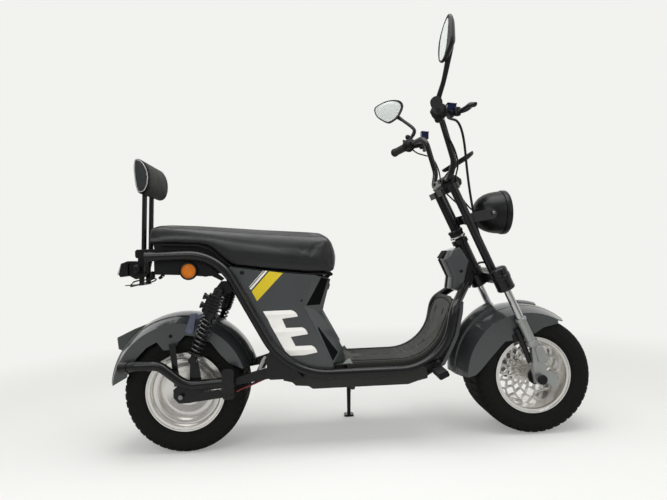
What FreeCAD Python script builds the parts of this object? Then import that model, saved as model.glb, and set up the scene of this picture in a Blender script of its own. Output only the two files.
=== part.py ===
import FreeCAD, Part
import math
import os

V = FreeCAD.Vector

# Driving dimensions, in millimetres.  X runs forwards, Y to the rider's left, Z up from the floor.
# Everything is drawn with the rear axle at X = 0 and is moved back by CENTRE_X when saved.
WHEELBASE = 1275.0
TYRE_R = 217.0          # 225/40-10 tyre, 434 mm tall
TYRE_HALF = 112.0       # half of the tyre's width
RIM_R = 141.0           # edge of the rim flange
AXLE_R = 8.0
DISC_R = 62.0           # brake discs
RUN = 0.05              # radial clearance of a shaft in its bore
GAP = 0.3               # clearance between touching pieces of one body
CLEAR = 6.0             # clearance between pieces that move past each other
TUBE_R = 16.0           # main frame tube
RAKE = math.radians(23.4)
FORK_OFF = 38.0         # fork legs ahead of the steering axis
FORK_Y = 90.0           # upper fork tubes, off the middle plane
FORK_R = 15.5
STANCHION_R = 13.5
SLIDER_R = 17.0
STEM_R = 15.0
BAR_R = 11.0            # handlebar tube
FLANGE_R = 28.0         # switch housing beside the grip
WALL = 3.0              # moulded panels
SHEET = 2.5             # pressed mudguards
SPOKES = 15             # windows in one row of the front wheel
COILS = 8               # turns of a rear spring
COIL_R = 20.5           # middle of the spring's wire
WIRE_R = 3.8
COLLAR_R = 25.0         # seat of the spring on the shock absorber

# What follows from them
CENTRE_X = WHEELBASE / 2 - 31.5
TUBE_Y = TYRE_HALF + 43
PANEL_Y = TUBE_Y - TUBE_R - GAP
BELLY_Y = TUBE_Y - 37
ARCH_Y = TYRE_HALF + 10
ARM_Y = TYRE_HALF + 26          # inner face of the swing arm
LEG_Y = TYRE_HALF + 31          # stanchions and sliders
HEAD_X = WHEELBASE - 162.3      # steering axis at the height of the lower clamp
HEAD_Z = TYRE_R + 358
BAR_X = HEAD_X - 128.7
BAR_Z = HEAD_Z + 378

# Outlines are given as measured on this scooter.  When a driving size changes, all of them rise
# with the axles, the head's follow the front axle and the floor's front end clears the front tyre.
RISE = TYRE_R - 217
AHEAD = WHEELBASE - 1275
NOSE = AHEAD - RISE

REAR = V(0, 0, TYRE_R)
FRONT = V(WHEELBASE, 0, TYRE_R)
ACROSS = V(0, 1, 0)
UP = V(-math.sin(RAKE), 0, math.cos(RAKE))
FWD = V(math.cos(RAKE), 0, math.sin(RAKE))
HEAD = V(HEAD_X, 0, HEAD_Z)
HINGE = V(540, 0, 618 + RISE)   # seat hinge, across the top of the seat box front
CYLINDER = V(48, -18, -3), V(40, 26, -4)    # both ends of the brake cylinder, from its clamp


def save(name, *shapes):
    """Write a piece, or like pieces on one body, as a STEP file moved to the shared origin."""
    solids = [solid for shape in shapes for solid in shape.Solids]
    shape = solids[0].copy() if len(solids) == 1 else Part.makeCompound(solids)
    shape.translate(V(-CENTRE_X, 0, 0))
    shape.exportStep("parts/" + name + ".step")


def pair(name, right):
    """Save a right-hand piece together with its mirror image."""
    save(name, right, mirrored(right))


def at(x, y, z, dx=0.0):
    """Measured point, carried along with the sizes that it depends on."""
    return V(x + dx, y, z + RISE)


def at_head(s, f=0.0, y=0.0):
    """Point s up the steering axis from the lower clamp, f ahead of it and y to the left."""
    return HEAD + UP * s + FWD * f + ACROSS * y


def round_axle(axle, r, degrees, y=0.0):
    """Point at radius r from an axle, at an angle up from straight ahead."""
    a = math.radians(degrees)
    return axle + V(r * math.cos(a), y, r * math.sin(a))


def box(x0, x1, y0, y1, z0, z1, dx=0.0):
    return Part.makeBox(x1 - x0, y1 - y0, z1 - z0, at(x0, y0, z0, dx))


def rod(p, q, r):
    """Round bar of radius r from p to q."""
    return Part.makeCylinder(r, p.distanceToPoint(q), p, q - p)


def cone(p, q, r0, r1):
    return Part.makeCone(r0, r1, p.distanceToPoint(q), p, q - p)


def ring(p, q, r_out, r_in):
    return rod(p, q, r_out).cut(rod(p, q, r_in))


def face_of(points):
    return Part.Face(Part.makePolygon(points + points[:1]))


def plate(outline, y0, y1, dx=0.0):
    """Flat plate: an outline in X and Z, given thickness from y0 to y1."""
    return face_of([at(x, y0, z, dx) for x, z in outline]).extrude(V(0, y1 - y0, 0))


def mirrored(shape):
    return shape.mirror(V(0, 0, 0), ACROSS)


def fused(*shapes):
    body = shapes[0]
    for shape in shapes[1:]:
        body = body.fuse(shape)
    return body


def centreline(points, radii):
    """Straight runs joined by tangent arcs, one bend radius for each inner point."""
    edges = []
    last = points[0]
    for i, radius in enumerate(radii, 1):
        back = (points[i - 1] - points[i]).normalize()
        on = (points[i + 1] - points[i]).normalize()
        half = back.getAngle(on) / 2
        reach = radius / math.tan(half)
        start = points[i] + back * reach
        end = points[i] + on * reach
        inward = (back + on).normalize()
        middle = points[i] + inward * (radius / math.sin(half) - radius)
        edges.append(Part.makeLine(last, start))
        edges.append(Part.Arc(start, middle, end).toShape())
        last = end
    edges.append(Part.makeLine(last, points[-1]))
    return Part.Wire(edges)


def tube(points, radii, r):
    """Bent bar of radius r along a centre line."""
    path = centreline(points, radii)
    circle = Part.Wire(Part.makeCircle(r, points[0], points[1] - points[0]))
    return path.makePipeShell([circle], True, False)


def turned(profile, centre, axis=ACROSS, out=V(1, 0, 0)):
    """Solid of revolution through centre, from corners (along the axis, radius)."""
    return face_of([centre + axis * s + out * r for s, r in profile]).revolve(centre, axis, 360)


def two_sided(half):
    """Wheel profile from its (y, r) corners on one side."""
    return half + [(-y, r) for y, r in reversed(half)]


def inset(outline, d):
    """The outline moved inwards by d at each corner (outline runs clockwise seen from -Y)."""
    n = len(outline)
    moved = []
    for i in range(n):
        x0, z0 = outline[i - 1]
        x1, z1 = outline[i]
        x2, z2 = outline[(i + 1) % n]
        ux, uz = x1 - x0, z1 - z0
        vx, vz = x2 - x1, z2 - z1
        lu, lv = math.hypot(ux, uz), math.hypot(vx, vz)
        nx, nz = uz / lu + vz / lv, -ux / lu - vx / lv
        ln = math.hypot(nx, nz)
        moved.append((x1 + nx / ln * d, z1 + nz / ln * d))
    return moved


def pillow(outline, steps, dx=0.0):
    """Ruled solid across Y; steps give (y, inset) for each section from right to left."""
    wires = []
    for y, d in steps:
        points = [at(x, y, z, dx) for x, z in inset(outline, d)]
        wires.append(Part.makePolygon(points + points[:1]))
    return Part.makeLoft(wires, True, True)


def blunt(outline, d):
    """The outline with a short straight cut across each corner, d along both sides."""
    cut = []
    n = len(outline)
    for i in range(n):
        a, b, c = outline[i - 1], outline[i], outline[(i + 1) % n]
        for other in (a, c):
            length = math.hypot(other[0] - b[0], other[1] - b[1])
            cut.append((b[0] + (other[0] - b[0]) * d / length, b[1] + (other[1] - b[1]) * d / length))
    return cut


# Wheels

def tyre(centre):
    """Low, wide scooter tyre: bead, flat side wall, bevelled shoulder and tread."""
    wall = TYRE_R - RIM_R
    half = [(TYRE_HALF - 20.8, RIM_R - 11.2), (TYRE_HALF - 20.8, RIM_R + 0.4), (TYRE_HALF, RIM_R + 0.38 * wall),
            (TYRE_HALF, RIM_R + 0.62 * wall), (TYRE_HALF - 24, TYRE_R)]
    return turned(two_sided(half), centre)


def barrel(centre):
    """Wheel rim: two flanges, flat bead seat and the stepped inner face."""
    half = [(TYRE_HALF - 20.4, RIM_R - 11.5), (TYRE_HALF - 18, RIM_R), (TYRE_HALF - 14.5, RIM_R),
            (TYRE_HALF - 14.5, RIM_R - 4), (TYRE_HALF - 18, RIM_R - 6), (TYRE_HALF - 18, RIM_R - 14),
            (TYRE_HALF - 26, RIM_R - 17), (TYRE_HALF - 62, RIM_R - 22)]
    return turned(two_sided(half), centre)


def window(centre, outline, turn):
    """Prism through the lattice; the outline is (radial, tangential) and is turned about the axle."""
    a = math.radians(turn)
    points = []
    for r, t in blunt(outline, 2.5):
        points.append(centre + V(r * math.cos(a) - t * math.sin(a), 0, r * math.sin(a) + t * math.cos(a)))
    return face_of(points).extrude(ACROSS * 25)


def lattice(centre):
    """Cast mesh of the front wheel: rows of pointed windows, each row half a pitch from the last."""
    rim = RIM_R - 21
    shape = turned([(6, 30), (6, rim + 2), (16, rim + 2), (16, 30)], centre)
    pitch = 360 / SPOKES
    rows = [                                        # middle, half length and half width, turn
        (rim * 0.433, rim * 0.075, rim * 0.058, 0.0),
        (rim * 0.6, rim * 0.125, rim * 0.1, 0.5),
        (rim * 0.8, rim * 0.158, rim * 0.146, 0.0)]
    for k in range(SPOKES):
        for r, length, width, turn in rows:
            kite = [(r - length, 0), (r, width), (r + length, 0), (r, -width)]
            shape = shape.cut(window(centre, kite, pitch * (k + turn)))
        edge = [(rim * 0.86, 0), (rim * 0.975, rim * 0.146), (rim * 0.975, -rim * 0.146)]
        shape = shape.cut(window(centre, edge, pitch * (k + 0.5)))
    return shape


def bore(shape, centre):
    """Cut the wheel for its axle."""
    reach = ACROSS * (TYRE_HALF + 30)
    return shape.cut(rod(centre - reach, centre + reach, AXLE_R + RUN))


def front_rim():
    """Deep dish: the mesh stands near the middle and a long cone runs out to the right-hand bearing."""
    hub = turned([(-TYRE_HALF, 4), (-TYRE_HALF, 22), (-TYRE_HALF + 16, 24), (4, 42), (20, 42), (26, 32),
                  (TYRE_HALF + 7, 32), (TYRE_HALF + 7, 4)], FRONT)
    return bore(fused(barrel(FRONT), lattice(FRONT), hub), FRONT)


def rear_rim():
    """Wheel cast round the hub motor, with a stepped dish on both sides."""
    dish = RIM_R - 20
    motor = turned(two_sided([(46, 26), (48, 60), (54, 84), (52, dish - 23), (60, dish - 17),
                              (72, dish - 14), (74, dish - 5), (74, dish)]), REAR)
    hub = rod(REAR - ACROSS * TYRE_HALF, REAR + ACROSS * (TYRE_HALF + 7), 32)
    return bore(fused(barrel(REAR), motor, hub), REAR)


def brake_disc(centre):
    """Drilled disc on the left end of the hub."""
    y = TYRE_HALF + 2
    disc = ring(centre + ACROSS * y, centre + ACROSS * (y + 4), DISC_R, 32 + GAP)
    for k in range(12):
        p = round_axle(centre, DISC_R - 9, 30 * k)
        disc = disc.cut(rod(p + ACROSS * (y - 1), p + ACROSS * (y + 5), 3))
    return disc


def caliper_block(centre, start, end, outer, grow=0.0):
    corners = []
    for r, a in ((40, start), (DISC_R + 22 + grow, start + 4), (DISC_R + 22 + grow, end - 4), (40, end)):
        corners.append(round_axle(centre, r, a, TYRE_HALF - 11))
    return face_of(corners).extrude(ACROSS * (outer - TYRE_HALF + 11))


def caliper(centre, start, end, outer):
    """Brake caliper astride the disc, from the wheel's side out to the piece that carries it."""
    y = TYRE_HALF + 4
    room = rod(centre + ACROSS * (y - 7), centre + ACROSS * (y + 7), DISC_R + 5)
    return caliper_block(centre, start, end, outer).cut(room)


# Frame

def tube_path():
    return [at(-108, -TUBE_Y, 706), at(140, -TUBE_Y, 706), at(370, -TUBE_Y, 272),
            at(925, -TUBE_Y, 271, NOSE), at(972, -TUBE_Y, 487, NOSE), at(1050, -46, 560, AHEAD)]


def tube_room(gap=GAP):
    """Space that the pair of main frame tubes takes up."""
    right = tube(tube_path(), [175, 250, 190, 60], TUBE_R + gap)
    return right.fuse(mirrored(right))


def frame_tube():
    """Right main tube with the plate below it that carries the swing arm's pivot."""
    bracket = plate([(292, 330), (300, 312), (292, 272), (312, 262), (430, 262), (400, 290), (350, 330),
                     (318, 372)], -TUBE_Y - 9, -TUBE_Y + 3)
    return tube(tube_path(), [175, 250, 190, 60], TUBE_R).fuse(bracket)


def neck():
    """Head tube with its bearing cups and the gusset that the main tubes run into."""
    body = fused(rod(at_head(27), at_head(172), 26), rod(at_head(27), at_head(46), 31),
                 rod(at_head(154), at_head(172), 31))
    gusset = plate([(1008, 545), (1068, 545), (1090, 600), (1050, 690), (1030, 690)], -44, 44, AHEAD)
    gusset = gusset.cut(rod(at_head(-60), at_head(27), 30 + CLEAR))
    body = body.fuse(gusset)
    return body.cut(rod(at_head(0), at_head(200), STEM_R + RUN)).cut(tube_room())


def front_view(half, top):
    """Rounded front outline that narrows the floor between the converging tubes."""
    corners = [(-half, 200), (-half, 455), (-half + 22, 500), (-66, top - 12), (-40, top), (40, top),
               (66, top - 12), (half - 22, 500), (half, 455), (half, 200)]
    return face_of([at(300, y, z) for y, z in corners]).extrude(V(WHEELBASE, 0, 0))


def deck_line(d):
    """Top line of the floor tray, d above its surface: flat, then a bend up to the head."""
    points = [(540, 299 + d), (582, 299 + d)]
    cx, cz, r = 775.0 + NOSE, 472.0, 173.0 - d
    for k in range(9):
        a = math.radians(-90 + 66.7 * k / 8)
        points.append((cx + r * math.cos(a), cz + r * math.sin(a)))
    a = math.radians(66.7)
    x, z = points[-1]
    points.append((x + 125 * math.cos(a), z + 125 * math.sin(a)))
    return points


def deck_pan():
    """Floor tray: one bent sheet with a rolled side wall along each tube."""
    half = PANEL_Y - WALL - GAP
    sheet = plate(deck_line(0) + deck_line(-3)[::-1], -half, half)
    wall = plate(deck_line(-3)[1:] + deck_line(-18)[:0:-1], -half, -half + 2.5)
    body = fused(sheet, wall, mirrored(wall))
    return body.common(front_view(half, 530)).cut(tube_room())


def floor_mat():
    """Rubber mat with a raised border that follows the floor round its bend."""
    half = TUBE_Y - 24
    low = deck_line(GAP)[1:]
    mat = plate(deck_line(3.5)[1:] + low[::-1], -half, half).common(front_view(half - 2, 538))
    border = plate(deck_line(5)[1:] + low[::-1], -half, half).common(front_view(half - 2, 538))
    border = border.cut(front_view(half - 14, 526))
    return mat.fuse(border).cut(tube_room())


def deck_cross():
    """Cross tubes under the floor; the middle one carries the prop stand's pivot."""
    reach = PANEL_Y - GAP
    bars = [rod(at(x, -reach, 272), at(x, reach, 272), 9) for x in (420, 620, 820)]
    bars[2].translate(V(NOSE, 0, 0))
    pivot, out, axis = stand_axes()
    hanger = plate([(592, 204), (620, 204), (634, 262), (634, 278), (606, 278), (592, 228)],
                   BELLY_Y + GAP, BELLY_Y + 10)
    hanger = hanger.fuse(rod(pivot - axis * 22, pivot - axis * 11, 14))
    hanger = hanger.common(rod(pivot - axis * 11, pivot - axis * 60, 200))
    hanger = hanger.cut(box(500, 700, -BELLY_Y, BELLY_Y + GAP, 150, 262))
    bars[1] = fused(bars[1], hanger, rod(pivot - axis * 12, pivot + axis * 11, 5))
    return bars


def belly_pan():
    """Open tray of bent sheet hung under the cross tubes, with the stub of a rubber stop."""
    front = [(799 + NOSE, 212), (832 + NOSE, 222), (868 + NOSE, 230), (868 + NOSE, 262.5)]
    inner = [(799 + NOSE, 215), (832 + NOSE, 225), (865 + NOSE, 233), (865 + NOSE, 300)]
    tray = plate([(352, 217)] + front + [(352, 262.5)], -BELLY_Y, BELLY_Y)
    tray = tray.cut(plate([(355, 220)] + inner + [(355, 300)], WALL - BELLY_Y, BELLY_Y - WALL))
    stop = cone(at(604, -60, 188), at(604, -60, 216.5), 9, 13)
    return tray.fuse(stop)


def apron():
    """Grey shield in front of the floor: a curved sheet with a short return at each side."""
    outer = [(871.2, 237), (940, 276), (968, 326), (993, 377), (1013, 461), (1017, 500)]
    back = [(x - 3, z + 2) for x, z in outer]
    deep = [(x - 12, z + 5) for x, z in outer[1:]]
    sheet = plate(outer + back[::-1], -BELLY_Y, BELLY_Y, NOSE)
    side = plate(outer + deep[::-1], -BELLY_Y, -BELLY_Y + WALL, NOSE)
    return fused(sheet, side, mirrored(side)).cut(tube_room())


def head_cover():
    """Moulded cover over the head tube and the ends of the main tubes, open at the front."""
    outline = [(1030, 701), (1045, 688), (1069, 646), (1065, 615), (1033, 534), (976, 546), (994, 592),
               (958, 663)]
    outer = pillow(outline, [(-60, 7), (-53, 0), (53, 0), (60, 7)], AHEAD)
    inner = plate([(1034, 720), (963, 661), (999, 592), (982, 550), (1033, 500), (1100, 615), (1100, 700)],
                  -50, 50, AHEAD)
    return outer.cut(inner).cut(tube_room())


# Seat box

def seat_box_side():
    """Side panel: its back edge lies behind the bent main tube."""
    return plate([(172, 657.5), (188, 657.5), (296, 640.5), (440, 623.5), (500, 619.5), (444, 521),
                  (478, 462), (562, 349), (566, 283), (500, 283), (435, 292), (377, 322), (329, 366),
                  (300, 412)], -PANEL_Y, -PANEL_Y + WALL)


def side_fins():
    """White trim on the side panel: a thin slanting spine and three fins with a ridge along each."""
    skin = -PANEL_Y - GAP
    body = plate([(291, 499), (350, 490), (357, 470), (370, 437), (385, 405), (401, 372), (396, 345),
                  (382, 338), (365, 354), (349, 384), (333, 416), (317, 446), (304, 478)], skin - 2.5, skin)
    rows = [                        # left end above and below, top, end of the top, tip, underside
        (291, 307, 499.5, 388, (413, 476), 470),
        (322, 339, 437.0, 425, (446, 412), 405),
        (356, 382, 371.5, 456, (477, 346), 338)]
    for left, low_left, top, run, (x, z), low in rows:
        corner = at(run + 0.72 * (x - run), skin, top + 0.42 * (z - top))
        line = [at(x, skin, z), at(low_left + 50, skin, low), at(low_left, skin, low), at(left, skin, top),
                at(run, skin, top)]
        edges = Part.makePolygon(line).Edges + [Part.Arc(line[-1], corner, line[0]).toShape()]
        fin = Part.Face(Part.Wire(edges)).extrude(V(0, -6, 0))
        ridge = top - 13
        for end, depth in ((low - 2, 4.5), (top + 2, 2.0)):
            wedge = face_of([at(200, skin - 6.1, ridge), at(200, skin - 6.1, end), at(200, skin - 6 + depth, end)])
            fin = fin.cut(wedge.extrude(V(400, 0, 0)))
        body = body.fuse(fin)
    return body


def seat_box_front():
    """Faceted front moulding between the side panels, with the key lock and the seat hinge's pin."""
    side = [(500, 619), (497, 612), (444, 521), (478, 462), (562, 349), (566, 299.3)]
    middle = [(508, 617), (535, 601), (508, 508), (502, 482), (570, 352), (578, 299.3)]
    half = PANEL_Y - WALL - GAP
    wires = []
    for y, line in ((-half, side), (46 - half, middle), (half - 46, middle), (half, side)):
        points = [at(x, y, z) for x, z in line] + [at(x - 3.5, y, z) for x, z in reversed(line)]
        wires.append(Part.makePolygon(points + points[:1]))
    body = Part.makeLoft(wires, True, True)
    tab = plate([(514, 604), (530, 603), (545, 618), (538, 623), (518, 612)], -36, 36)
    lock = rod(at(519, 0, 572), at(533, 0, 568), 11).cut(box(530, 545, -1.5, 1.5, 562, 576))
    return fused(body, tab, lock, rod(HINGE - ACROSS * 36, HINGE + ACROSS * 36, 6),
                 rod(HINGE - ACROSS * 64, HINGE + ACROSS * 64, 3))


def seat_box_rear():
    """Back wall and floor of the seat box, one folded sheet."""
    half = PANEL_Y - WALL - GAP
    return plate([(190, 656), (193, 656), (348, 299), (539.7, 299), (539.7, 296), (346, 296)], -half, half)


def tail_panel():
    """Dark skirt under the rear rails: two sides and the tray that joins them."""
    side = plate([(-83, 643), (7, 638), (82, 631), (117, 630), (150, 612), (160, 620), (104, 668),
                  (62, 700), (-83, 703)], -PANEL_Y, -PANEL_Y + WALL)
    tray = box(-83, 60, -PANEL_Y + WALL - 1, PANEL_Y - WALL + 1, 688, 691)
    return fused(side, mirrored(side), tray)


def side_reflector():
    """Round reflector: a bezel with a raised lens."""
    y = -PANEL_Y - GAP
    return turned([(y, 0), (y, 27), (y - 5, 27), (y - 7, 25), (y - 7, 22.5), (y - 5.5, 22.5), (y - 9, 15),
                   (y - 10, 0)], at(37, 0, 651))


# Rear end

def arch_face(centre, half, crown, edge, skirt, band=0.0, step=0.0):
    """Section of a mudguard: skirts, rounded shoulders and a centre band that stands step higher."""
    def point(y, r):
        return centre + V(r, y, 0)

    def shoulder(y, inner):
        width = half - inner
        return edge - inner + (crown - edge) * (1 - (y / width) ** 2)

    def line(inner):
        """Corner points of one skin from right to left, the even runs straight, the odd ones arcs."""
        width = half - inner
        low = shoulder(band, inner)
        return [point(-width, skirt), point(-width, edge - inner),
                point(-(width + band) / 2, shoulder((width + band) / 2, inner)), point(-band, low),
                point(3 - band, low + step), point(0, crown - inner + step), point(band - 3, low + step),
                point(band, low), point((width + band) / 2, shoulder((width + band) / 2, inner)),
                point(width, edge - inner), point(width, skirt)]

    edges = []
    for p in (line(0), line(SHEET)):
        edges.append(Part.makeLine(p[0], p[1]))
        edges.append(Part.Arc(p[1], p[2], p[3]).toShape())
        edges.append(Part.makeLine(p[3], p[4]))
        edges.append(Part.Arc(p[4], p[5], p[6]).toShape())
        edges.append(Part.makeLine(p[6], p[7]))
        edges.append(Part.Arc(p[7], p[8], p[9]).toShape())
        edges.append(Part.makeLine(p[9], p[10]))
    for y in (-1, 1):
        edges.append(Part.makeLine(point(y * half, skirt), point(y * (half - SHEET), skirt)))
    return Part.Face(Part.Wire(Part.__sortEdges__(edges)))


def arch(face, centre, start, end):
    """Mudguard shell: the section swept about its centre between two angles."""
    face.rotate(centre, V(0, -1, 0), start)
    return face.revolve(centre, V(0, -1, 0), end - start)


def rear_fender():
    """Mudguard over the rear wheel, notched round the stays and the shock absorbers."""
    centre = REAR + V(-12, 0, 12)
    crown = TYRE_R + 48
    shell = arch(arch_face(centre, ARCH_Y, crown, crown - 30, TYRE_R - 67, 66, 4), centre, 17, 178)
    cut = [(-330, 240), (-244, 258), (-196, 284), (-187, 312), (-166, 343), (-125, 385), (-88, 404),
           (-66, 374), (-30, 374), (-13, 400), (12, 424), (44, 418), (100, 395), (134, 349),
           (162, 319), (202, 300), (240, 270), (240, 0), (-330, 0)]
    wedge = plate([(-112, 470), (-190, 444), (-255, 414), (-251, 372), (-225, 360), (-150, 430)], -40, 40)
    wedge = wedge.cut(rod(centre - ACROSS * 90, centre + ACROSS * 90, crown + 1))
    return shell.cut(plate(cut, -ARCH_Y - 60, ARCH_Y + 60)).fuse(wedge)


def swing_arm():
    """Both arms, their cross tube, the shock lugs and the mudguard stays, welded into one."""
    arm = plate([(182, 269), (290, 300), (312, 294), (316, 276), (300, 262), (186, 246), (57, 228),
                 (30, 192), (-10, 192), (-28, 212), (-28, 240), (-4, 262), (60, 258)], -ARM_Y - 12, -ARM_Y)
    tray = plate([(27, 219), (30, 193), (138, 204), (139, 230), (57, 228)], -ARM_Y - 12, -ARM_Y + 6)
    lug = plate([(28, 250), (34, 352), (58, 352), (72, 250)], -ARM_Y - 12, -ARM_Y - 6)
    stay = plate([(-41, 398), (-17, 398), (-12, 311), (0, 250), (-26, 250), (-31, 312)],
                 -ARM_Y - 5, -ARM_Y - 1)
    stud = rod(at(-29, -ARM_Y - 3, 388), at(-29, -ARCH_Y - GAP, 388), 6)
    boss = rod(at(303, GAP - TUBE_Y + 3, 283), at(303, 1 - ARM_Y, 283), 12)
    cross = rod(at(268, -ARM_Y - 12, 277), at(268, ARM_Y + 12, 277), 13)
    half = fused(arm, tray, lug, stay, stud, boss)
    body = fused(half, mirrored(half), cross, caliper(REAR, 12, 52, ARM_Y + 1))
    return body.cut(rod(REAR - ACROSS * 200, REAR + ACROSS * 200, AXLE_R + RUN))


def bumper():
    """Guard tube beside the rear wheel with an end collar and the strap that bolts it to the arm."""
    y = -ARM_Y - 27
    points = [at(-206, y + 24, 322), at(-150, y, 330), at(-70, y, 330), at(20, y, 256), at(150, y, 262)]
    run = (points[1] - points[0]).normalize()
    body = tube(points, [20, 60, 90], 17).fuse(rod(points[0] - run * 2, points[0] + run * 34, 19.5))
    strap = plate(blunt([(146, 206), (186, 206), (186, 310), (146, 310)], 6), y - 18, y - 12)
    link = box(146, 186, y - 18, -ARM_Y - 12 - GAP, 232, 258)
    bolts = [rod(at(x, y - 22, 218), at(x, y - 12, 218), 6) for x in (156, 176)]
    return fused(body, strap, link, *bolts)


def shock():
    """Rear shock absorber: finned head, preload knobs, sleeve, perches and both eyes."""
    y = -ARM_Y - 25.3
    top, low, along, out = shock_axes(y)
    head = plate(blunt([(106, 560), (152, 549), (130, 488), (83, 512)], 5), y - 19, y + 13)
    body = fused(rod(top - along * 4, top + along * 40, 17), head)
    for s in (18, 30, 42, 54, 66):
        body = body.fuse(rod(top + along * s, top + along * (s + 5), 26))
    for s, side in ((34, -1), (66, -1)):
        p = top + along * s + out * 18 * side
        body = body.fuse(rod(p, p + out * 20 * side, 9)).fuse(rod(p + out * 18 * side, p + out * 24 * side, 12))
    body = fused(body, rod(top + along * 76, top + along * 94, COLLAR_R), rod(top + along * 90, low, 9),
                 rod(top + along * 94, top + along * 110, 16), rod(low - along * 30, low - along * 22, 27),
                 rod(low - along * 24, low, 12))
    for p in (top, low):
        body = body.fuse(rod(p - ACROSS * 12, p + ACROSS * 13, 14))
    cheek = plate([(128, 585), (150, 612), (205, 612), (214, 582), (146, 560)], -ARM_Y - 12, -ARM_Y - 6)
    body = fused(body, rod(top, top + ACROSS * 18, 7), cheek)
    body = body.cut(tube_room()).cut(plate([(28, 250), (34, 352), (58, 352), (72, 250)],
                                           -ARM_Y - 12 - GAP, -ARM_Y))
    return body


def shock_axes(y):
    """Both eyes, the direction down the shock absorber, and the one across it to its front."""
    top = at(143, y, 580)
    low = at(46, y, 343)
    along = (low - top).normalize()
    return top, low, along, V(-along.z, 0, along.x)


def shock_spring():
    """Coil spring between the collar and the lower perch."""
    top, low, along, out = shock_axes(-ARM_Y - 25.3)
    start = top + along * (94 + WIRE_R + GAP)
    length = low.distanceToPoint(start) - 30 - WIRE_R - GAP
    wires = []
    for i in range(14 * COILS + 1):
        a = 2 * math.pi * i / 14
        middle = start + along * (length * i / 14 / COILS)
        outward = out * math.cos(a) + ACROSS * math.sin(a)
        points = []
        for k in range(8):
            b = 2 * math.pi * (k + 0.5) / 8
            points.append(middle + outward * (COIL_R + WIRE_R * math.cos(b)) + along * (WIRE_R * math.sin(b)))
        wires.append(Part.makePolygon(points + points[:1]))
    return Part.makeLoft(wires, True, True)


def reservoir():
    """Oil reservoir clamped to the back of the shock absorber."""
    y = -ARM_Y - 37
    shape = plate(blunt([(50, 508), (68, 505), (55, 441), (41, 436), (27, 446), (38, 473)], 4), y - 12, y + 12)
    shape = shape.cut(plate([(44, 498), (60, 496), (49, 449), (34, 452)], y - 12, y - 10.5))
    arm = plate([(60, 498), (98, 507), (96, 494), (62, 484)], y - 4, y + 6)
    top, low, along, out = shock_axes(-ARM_Y - 25.3)
    return shape.fuse(arm).cut(rod(top + along * 70, top + along * 130, COLLAR_R + GAP))


def backrest_posts(r):
    bars = [rod(at(-148, y, 730), at(-136, y, 990), r) for y in (-40, 40)]
    return bars[0].fuse(bars[1])


def backrest_frame():
    """Cross tube between the rails, the clamp block behind it, two posts, and the lamp's arms."""
    reach = PANEL_Y - GAP
    block = plate(blunt([(-174, 703), (-174, 735), (-100, 735), (-100, 703)], 6), -60, 60)
    arm = plate([(-170, 704), (-140, 704), (-150, 664), (-152, 603), (-168, 603), (-168, 655), (-204.7, 650),
                 (-204.7, 676), (-172, 684)], 34, 42)
    shelf = box(-218, -152, -48, 48, 603, 606)
    for y in (-30, 30):
        shelf = shelf.cut(rod(at(-200, y, 590), at(-200, y, 620), 3.1))
        shelf = shelf.cut(box(-184, -164, y - 8, y + 8, 590, 620))
    return fused(rod(at(-96, -reach, 706), at(-96, reach, 706), 12), block, backrest_posts(9), arm,
                 mirrored(arm), shelf)


def tail_light():
    """Housing of the tail light, a tapered box with its face to the rear."""
    outline = [(-228, 686), (-205, 694), (-205, 641), (-232, 636), (-238, 645)]
    return plate(outline, -52, 52)


def tail_lens():
    """Clear lens on the back of the tail light."""
    return plate([(-230.5, 686), (-228.4, 686.2), (-238.4, 645.1), (-245, 645), (-243, 652)], -48, 48)


# Steering

def stem():
    """Steerer with the collar that sits above the head tube."""
    collar = rod(at_head(177.5), at_head(205), 24).fuse(rod(at_head(183), at_head(198), 27))
    return rod(at_head(-18), at_head(376), STEM_R).fuse(collar)


def clamp_bar(s, f, depth, width, height):
    """Bar across the fork, square to the steering axis."""
    bar = Part.makeBox(depth, width, height, V(-depth / 2, -width / 2, -height / 2))
    bar.rotate(V(0, 0, 0), ACROSS, -math.degrees(RAKE))
    bar.translate(at_head(s, f))
    return bar


def lower_clamp():
    """Lower yoke: a bar with a round barrel, split by a pinch slot, at each stanchion."""
    body = rod(at_head(-22), at_head(22), 30).fuse(clamp_bar(0, FORK_OFF, 46, 2 * LEG_Y, 40))
    for y in (-LEG_Y, LEG_Y):
        body = fused(body, rod(at_head(-46, FORK_OFF, y), at_head(24, FORK_OFF, y), 32),
                     cone(at_head(-54, FORK_OFF, y), at_head(-46, FORK_OFF, y), 27, 32))
    body = body.cut(rod(at_head(-40), at_head(40), STEM_R + GAP))
    for y, r in ((-LEG_Y, STANCHION_R), (-FORK_Y, FORK_R), (FORK_Y, FORK_R), (LEG_Y, STANCHION_R)):
        body = body.cut(rod(at_head(-60, FORK_OFF, y), at_head(60, FORK_OFF, y), r + GAP))
    for y in (-LEG_Y - 22, LEG_Y + 22):
        slot = clamp_bar(-10, FORK_OFF, 3, 24, 100)
        slot.translate(ACROSS * y)
        body = body.cut(slot)
    return body


def upper_clamp():
    """Top yoke with rounded ends and the two blocks that hold the handlebar."""
    arm = clamp_bar(364, FORK_OFF - 16, 62, 2 * FORK_Y, 24)
    for y in (-FORK_Y, FORK_Y):
        arm = arm.fuse(rod(at_head(352, FORK_OFF - 4, y), at_head(376, FORK_OFF - 4, y), 27))
    for y in (-44, 44):
        block = clamp_bar(392, FORK_OFF - 10, 34, 28, 36)
        block.translate(ACROSS * y)
        arm = arm.fuse(block)
    body = arm.cut(rod(at_head(330), at_head(430), STEM_R + GAP))
    for y in (-FORK_Y, FORK_Y):
        body = body.cut(rod(at_head(340, FORK_OFF, y), at_head(430, FORK_OFF, y), FORK_R + GAP))
    bar = V(BAR_X, 0, BAR_Z)
    return body.cut(rod(bar - ACROSS * 200, bar + ACROSS * 200, BAR_R + GAP))


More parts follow.
